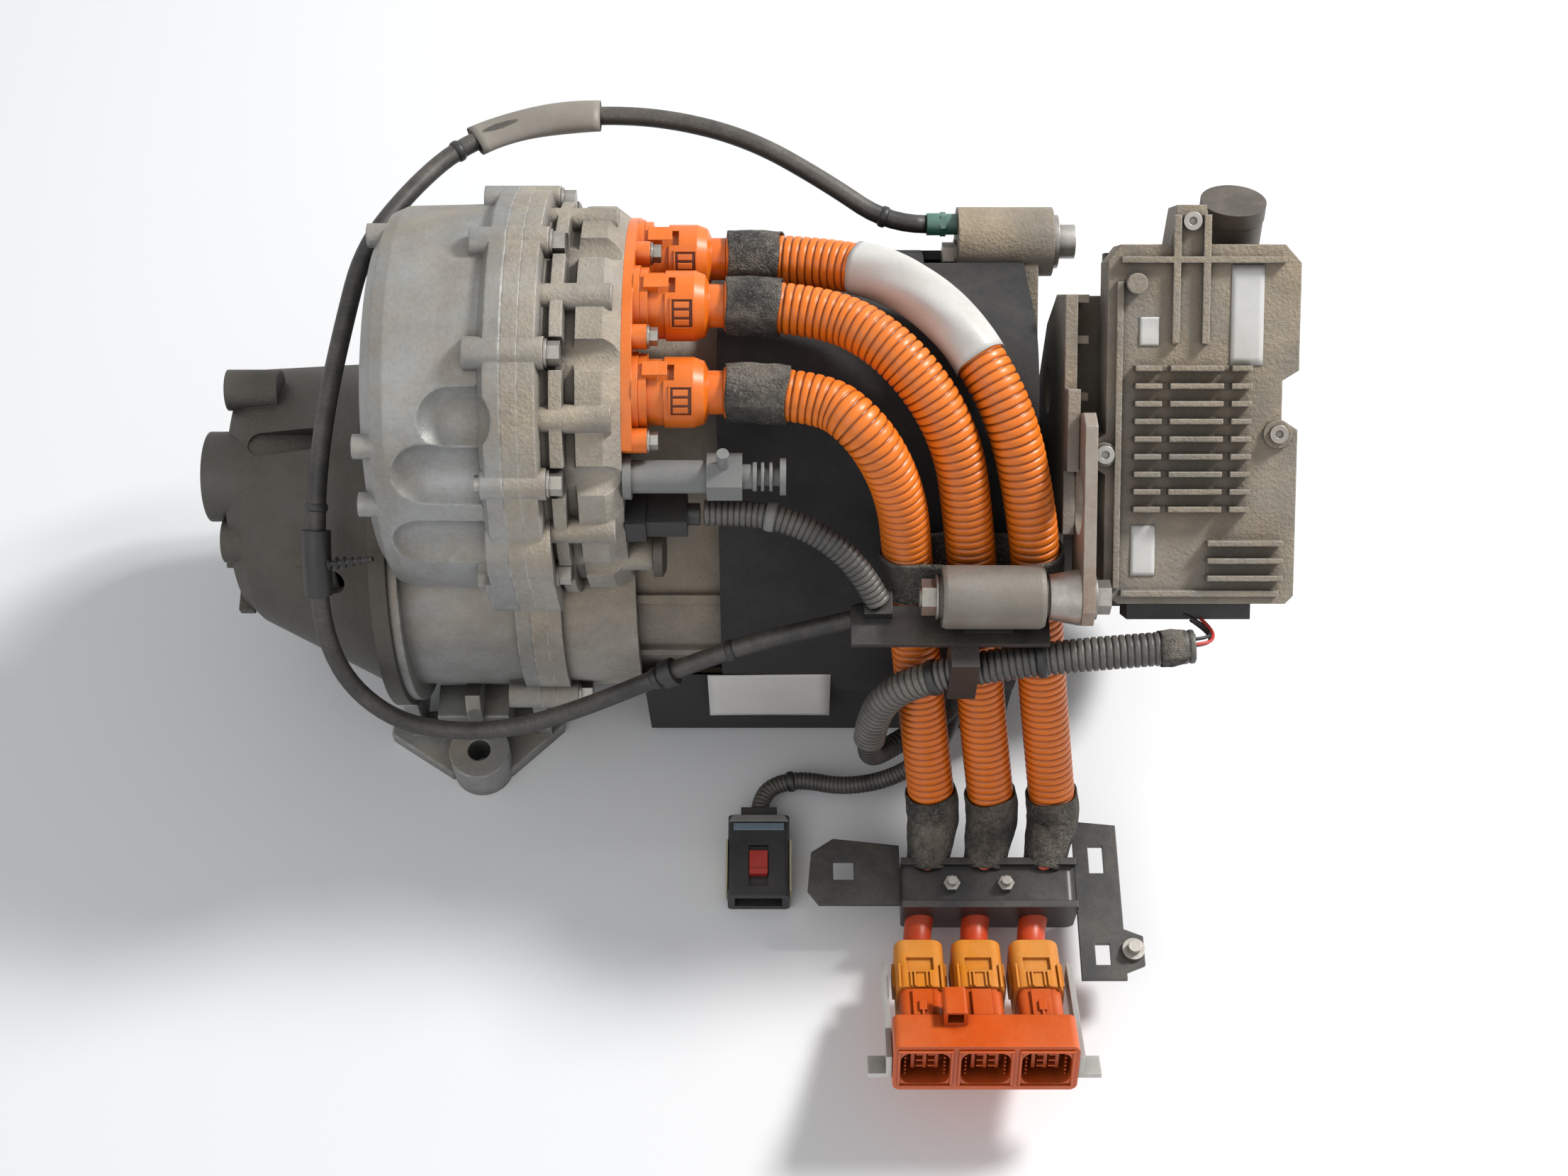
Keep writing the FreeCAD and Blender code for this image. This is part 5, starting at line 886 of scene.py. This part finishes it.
def band_ring(share, radius):
    """One loop of the felt band: the hull of the three conduits at one station."""
    centres, headings = [], []
    for (tube, line), (start, end) in zip(conduits, BAND_STATIONS):
        points = spaced(line, 0.001)
        at = round((start + (end - start) * share) * 1000)
        centres.append(points[at])
        headings.append((points[at + 2] - points[at - 2]).normalized())
    ahead = sum(headings, Vector()).normalized()
    across = centres[0] - centres[2]
    across = (across - ahead * across.dot(ahead)).normalized()
    other = ahead.cross(across)
    flat = []
    for centre in centres:
        for k in range(CIRCLE_SIDES):
            turn = 2 * math.pi * k / CIRCLE_SIDES
            flat.append(Vector((centre.dot(across) + radius * math.cos(turn),
                                centre.dot(other) + radius * math.sin(turn))))
    hull = [flat[k] for k in geometry.convex_hull_2d(flat)]
    start = max(range(len(hull)), key=lambda k: hull[k].x)
    hull = hull[start:] + hull[:start] + [hull[start]]
    loop = spaced([Vector((p.x, p.y, 0)) for p in hull], 0.0001)
    loop = [loop[round(k * (len(loop) - 1) / BAND_SIDES)] for k in range(BAND_SIDES)]
    marks = sorted((c.dot(across), c.dot(ahead)) for c in centres)
    middle = Vector((sum(c.dot(across) for c in centres) / 3, sum(c.dot(other) for c in centres) / 3))
    ring = []
    for k, p in enumerate(loop):
        x = min(max(p.x, marks[0][0]), marks[2][0])
        low, high = (marks[0], marks[1]) if x < marks[1][0] else (marks[1], marks[2])
        along = low[1] + (high[1] - low[1]) * (x - low[0]) / (high[0] - low[0])
        along += 0.0005 * math.sin(0.35 * k) * (abs(share - 0.5) > 0.49)
        fold = 0.0002 * math.sin(0.9 * k + 6 * share)
        outward = (Vector((p.x, p.y)) - middle).normalized() * fold
        ring.append(across * (p.x + outward.x) + other * (p.y + outward.y) + ahead * along)
    return ring


verts = [place for row in range(BAND_ROWS + 1) for place in band_ring(row / BAND_ROWS, 0.0137)]
felt_band = mesh_object("felt_band", verts, ring_faces(BAND_ROWS, BAND_SIDES))
smooth(felt_band)
thicken(felt_band, 0.0014, 0)
dressed(felt_band, "felt")
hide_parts("conduit_felt_band")
print("the band has", len(verts), "points")

# %% [markdown]
# The foam jacket has two pressed seams, and push clips in pairs at its back.
# Their places are found by casting rays at the jacket from outside.

# %% Jacket seams and clips
jacket = nodes["acoustic_jacket"]


def on_jacket(x, angle, lift=0.0):
    """The jacket's skin at one station along the axle and one angle about it."""
    turn = math.radians(angle)
    outward = Vector((0, math.cos(turn), math.sin(turn)))
    start = jacket.matrix_world.inverted() @ (Vector((x, 0.02, 0.02)) + outward * 0.4)
    found, place, normal, _ = jacket.ray_cast(start, -outward)
    return (place + normal * lift, normal) if found else None


jacket_low, jacket_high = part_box("acoustic_jacket")
for index, share in enumerate((0.07, 0.93)):
    x = jacket_low.x + (jacket_high.x - jacket_low.x) * share
    hits = [on_jacket(x, angle, 0.0002) for angle in range(-58, 176, 2)]
    line = [hit[0] for hit in hits if hit]
    near = [line[0]]
    for place in line[1:]:
        if 0.0005 < (place - near[-1]).length < 0.03:
            near.append(place)
    seam_line = spaced(near, 0.0015)
    stitches = [0.0016 if k % 3 else 0.0010 for k in range(len(seam_line))]
    swept(f"jacket_seam_{index}", seam_line, stitches, "foam", 10)
CLIP_PROFILE = [(-0.0003, 0.0085), (0.0009, 0.0085), (0.0017, 0.0072), (0.0020, 0.0050)]
for index, (share, angle) in enumerate((s, a) for s in (0.2, 0.5, 0.8) for a in (-30, 12)):
    hit = on_jacket(jacket_low.x + (jacket_high.x - jacket_low.x) * share, angle)
    if hit:
        place, normal = hit
        swept(f"jacket_clip_{index}", [place + normal * height for height, _ in CLIP_PROFILE],
              [radius for _, radius in CLIP_PROFILE], "black_plastic", 24)
print("jacket from", round(jacket_low.x, 3), "to", round(jacket_high.x, 3))

# %% [markdown]
# Small moulded details are solids with softly rounded edges. A prism has any
# outline, and blocks are boxes that may be bent together round a plug.

# %% Small solids
def soft_solid(name, verts, faces, material, bevel):
    """A closed mesh with its faces turned outward and its edges rounded."""
    made = mesh_object(name, verts, faces)
    work = bmesh.new()
    work.from_mesh(made.data)
    bmesh.ops.recalc_face_normals(work, faces=work.faces)
    work.to_mesh(made.data)
    work.free()
    soft_edge = made.modifiers.new("soft_edge", "BEVEL")
    soft_edge.width = bevel
    soft_edge.segments = 2
    return dressed(made, material)


def prism(name, corners, depth, material, bevel=0.0004):
    """A solid between a loop of corners and its copy moved by depth."""
    count = len(corners)
    verts = [Vector(c) for c in corners] + [Vector(c) + Vector(depth) for c in corners]
    faces = [tuple(range(count)), tuple(reversed(range(count, 2 * count)))]
    faces += [(i, i + count, (i + 1) % count + count, (i + 1) % count) for i in range(count)]
    return soft_solid(name, verts, faces, material, bevel)


def blocks(name, cells, place, material, steps=6, bevel=0.0003):
    """Blocks in one mesh. Each is (x0, x1, y0, y1, z0, z1) and may be bent by place."""
    verts, faces = [], []
    for x0, x1, y0, y1, z0, z1 in cells:
        first = len(verts)
        for step in range(steps + 1):
            y = y0 + (y1 - y0) * step / steps
            verts += [place(x, y, z) for x, z in ((x0, z0), (x1, z0), (x1, z1), (x0, z1))]
        for step in range(steps):
            ring = first + 4 * step
            faces += [(ring + k, ring + (k + 1) % 4, ring + 4 + (k + 1) % 4, ring + 4 + k) for k in range(4)]
        faces += [(first + 3, first + 2, first + 1, first), tuple(first + 4 * steps + k for k in range(4))]
    return soft_solid(name, verts, faces, material, bevel)


print("small solids: prism and blocks")

# %% [markdown]
# Each cable plug has a barred window in its round side: a frame, a dark sheet of
# painted shade in its recess and three bars.

# %% Plug windows
PLUG_RADIUS = 17
WINDOW_START = 244.5
WINDOW_TURN = math.radians(50)


def on_plug(spot):
    """Places on a round plug: x along it, y round it and z out of its skin, in millimetres."""
    def place(x, y, z):
        angle = WINDOW_TURN + y / PLUG_RADIUS
        reach = PLUG_RADIUS + z
        return Vector((x + WINDOW_START, spot[0] - reach * math.sin(angle),
                       spot[1] + reach * math.cos(angle))) / 1000

    return place


WINDOW_FRAME = [(0, 11.6, -7.6, -6.7, -0.5, 0.8), (0, 11.6, 6.7, 7.6, -0.5, 0.8),
                (0, 0.9, -6.7, 6.7, -0.5, 0.8), (10.7, 11.6, -6.7, 6.7, -0.5, 0.8)]
# The dark sheet under the bars is painted shade.
WINDOW_PAINTED_SHADE = [(0.9, 10.7, -6.7, 6.7, -0.5, 0.15)]
WINDOW_BARS = [(2, 9.2, y - 1.5, y + 1.5, -0.5, 0.75) for y in (-4.2, 0, 4.2)]
for index, spot in enumerate(PLUGS, start=1):
    place = on_plug(spot)
    blocks(f"plug_window_{index}", WINDOW_FRAME, place, "orange_plastic")
    # Painted shade for the window's recess.
    blocks(f"plug_window_painted_shade_{index}", WINDOW_PAINTED_SHADE, place, "orange_painted_shade")
    blocks(f"plug_window_bars_{index}", WINDOW_BARS, place, "orange_plastic")
print(len(PLUGS), "plug windows")

# %% [markdown]
# The header at the harness's end leans forward. Its three ports have raised
# rims and contacts, the collars behind it have clips, and pins lock the outer
# two.

# %% Header details
INLET = Vector((0.4005, -0.2258, -0.0725))
HEADER_LENGTH = 78.0
HEADER_PITCH = 30.5
HEADER_TILT = math.radians(25)


def on_header(x, y, z):
    """A place in the header's own axes, in millimetres: y goes back along the cables."""
    back = Vector((0, math.cos(HEADER_TILT), -math.sin(HEADER_TILT)))
    up = Vector((0, math.sin(HEADER_TILT), math.cos(HEADER_TILT)))
    return INLET + Vector((x / 1000, 0, 0)) + back * (y / 1000) + up * (z / 1000)


mouth = -HEADER_LENGTH
rim = mouth - 1.2
bezels, contacts, clips, pins = [], [], [], []
for x in (-HEADER_PITCH, 0, HEADER_PITCH):
    bezels += [(x - 14, x + 14, rim, mouth, 11.6, 13), (x - 14, x + 14, rim, mouth, -13, -11.6),
               (x - 14, x - 12.6, rim, mouth, -11.6, 11.6), (x + 12.6, x + 14, rim, mouth, -11.6, 11.6)]
    contacts += [(x + side - 0.5, x + side + 0.5, mouth + 3, mouth + 14, z - 0.5, z + 0.5)
                 for side in (-10, 10) for z in (-7, -4.2, -1.4, 1.4, 4.2, 7)]
    contacts += [(x + side, x + side + 3.4, mouth + 5, mouth + 14, z, z + 0.9)
                 for side in (-4.5, 1.5) for z in (-4, 0, 4)]
    clips += [(x + side, x + side + 1, -34, -24, 12.6, 14.2) for side in (-5.6, -3.6, 2.6, 4.6)]
    clips += [(x - 5.6, x + 5.6, -24.4, -23.4, 12.6, 14.2)]
    clips += [(x + side, x + side + 1.2, -35, -18, 11.4, 13.8) for side in (-11.5, 10.3)]
for x in (-HEADER_PITCH, HEADER_PITCH):
    pins += [(x - 2, x + 2, -52, -45, 13.2, 15.2), (x - 0.7, x + 0.7, -60, -52, 13.4, 15)]
blocks("header_bezels", bezels, on_header, "orange_deep", 1, 0.0005)
blocks("header_contacts", contacts, on_header, "orange_deep", 1, 0.0001)
blocks("collar_clips", clips, on_header, "amber_plastic", 1, 0.0002)
blocks("header_pins", pins, on_header, "orange_deep", 1, 0.0003)
print(len(contacts), "contacts and", len(clips), "clip bars")

# %% [markdown]
# Cable ties sit on the hose and the conduits, and a ribbed pin holds the hose's
# clip on the casting.

# %% Ties and the clip's pin
def tie(name, points, radius, width, material="black_plastic"):
    """A narrow cable tie round a cord, a little thicker in its middle."""
    line = spaced(points, 0.001)
    middle = line[len(line) // 2]
    ahead = (line[-1] - line[0]).normalized()
    stations = [middle - ahead * width / 2, middle - ahead * width / 4, middle + ahead * width / 4,
                middle + ahead * width / 2]
    swept(name, stations, [radius, radius + 0.0005, radius + 0.0005, radius], material)


def stretch(points, start, length):
    """The part of a line from one distance along it to another."""
    line = spaced(points, 0.001)
    first = round(start * 1000)
    return line[first:first + max(4, round(length * 1000))]


for index, mark in enumerate((0.02, 0.26, 0.47, 0.86 * length_of(vent_line), 0.8)):
    tie(f"hose_tie_{index}", stretch(vent_line, mark, 0.006), 0.0052, 0.004)
for index, mark in enumerate((0.07, 0.125)):
    tie(f"wire_tie_{index}", stretch(wire_line, mark, 0.006), 0.0089, 0.005)
tie("sensor_tie", stretch(sensor_line, 0.03, 0.006), 0.0069, 0.005, "grey_plastic")
tie("branch_tie", stretch(branch_line, 0.15, 0.006), 0.0054, 0.004)
PIN_ROOT = Vector((0.0655, -0.0725, 0.0795))
PIN_RINGS = 53
pin_line = [PIN_ROOT + Vector((0.0005 * k, 0, 0.0001 * k)) for k in range(PIN_RINGS)]
pin_radii = [0.0014 if k % 8 < 6 else 0.0036 - 0.00035 * (k // 8) for k in range(PIN_RINGS)]
swept("hose_clip_pin", pin_line, pin_radii, "black_plastic", 14)
print("a pin of", PIN_RINGS, "rings")

# %% [markdown]
# Three thin wires leave the taped conduit for the control unit's socket.

# %% Thin wires
WIRE_RADIUS = 0.0009
wire_starts = [(503.5, -121, 83), (503.5, -119, 78), (503.5, -117, 81)]
for index, (start, tone) in enumerate(zip(wire_starts, ("red_plastic", "black_plastic", "black_plastic"))):
    x, y, z = start
    route = metres([
        (x - 6, y, z), (x + 3, y + 0.6, z), (x + 9, y + 5, z - 3),
        (x + 9 - 2 * index, y + 12, z - 5), (x + 4 - 4 * index, y + 18.5, z - 6),
    ])
    line = centre_line(f"thin_wire_line_{index}", route)
    wire = even_tube(f"thin_wire_{index}", spaced(line, 0.0015), WIRE_RADIUS, tone, 12)
    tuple(route[0])
    length_of(line)
    [tuple(p) for p in line]
print(len(wire_starts), "thin wires")

# %% [markdown]
# The low-voltage connector has a pale cover on each side, a blue seal and a cap
# at its back. They are placed from the corners of its box.

# %% Connector details
low_corner, high_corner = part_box("wire_connector")
print("wire connector from", [round(v, 4) for v in low_corner], "to", [round(v, 4) for v in high_corner])
left, front, top = low_corner.x, low_corner.y, high_corner.z
COVER = 0.0012
for side, x in (("left", left - COVER), ("right", left + 0.034)):
    corners = [(x, front + 0.004, top - 0.016), (x, front + 0.03, top - 0.016),
               (x, front + 0.034, top - 0.010), (x, front + 0.034, top - 0.001),
               (x, front + 0.004, top - 0.001)]
    prism(f"connector_cover_{side}", corners, (COVER, 0, 0), "pale_plastic")
prism("connector_seal", [(left + 0.003, front + 0.0385, top), (left + 0.031, front + 0.0385, top),
                         (left + 0.031, front + 0.043, top), (left + 0.003, front + 0.043, top)],
      (0, 0, 0.0008), "seal_blue")
prism("connector_cap", [(left + 0.0005, front + 0.0435, top), (left + 0.0335, front + 0.0435, top),
                        (left + 0.0315, front + 0.0475, top), (left + 0.0025, front + 0.0475, top)],
      (0, 0, 0.0018), "grey_plastic")
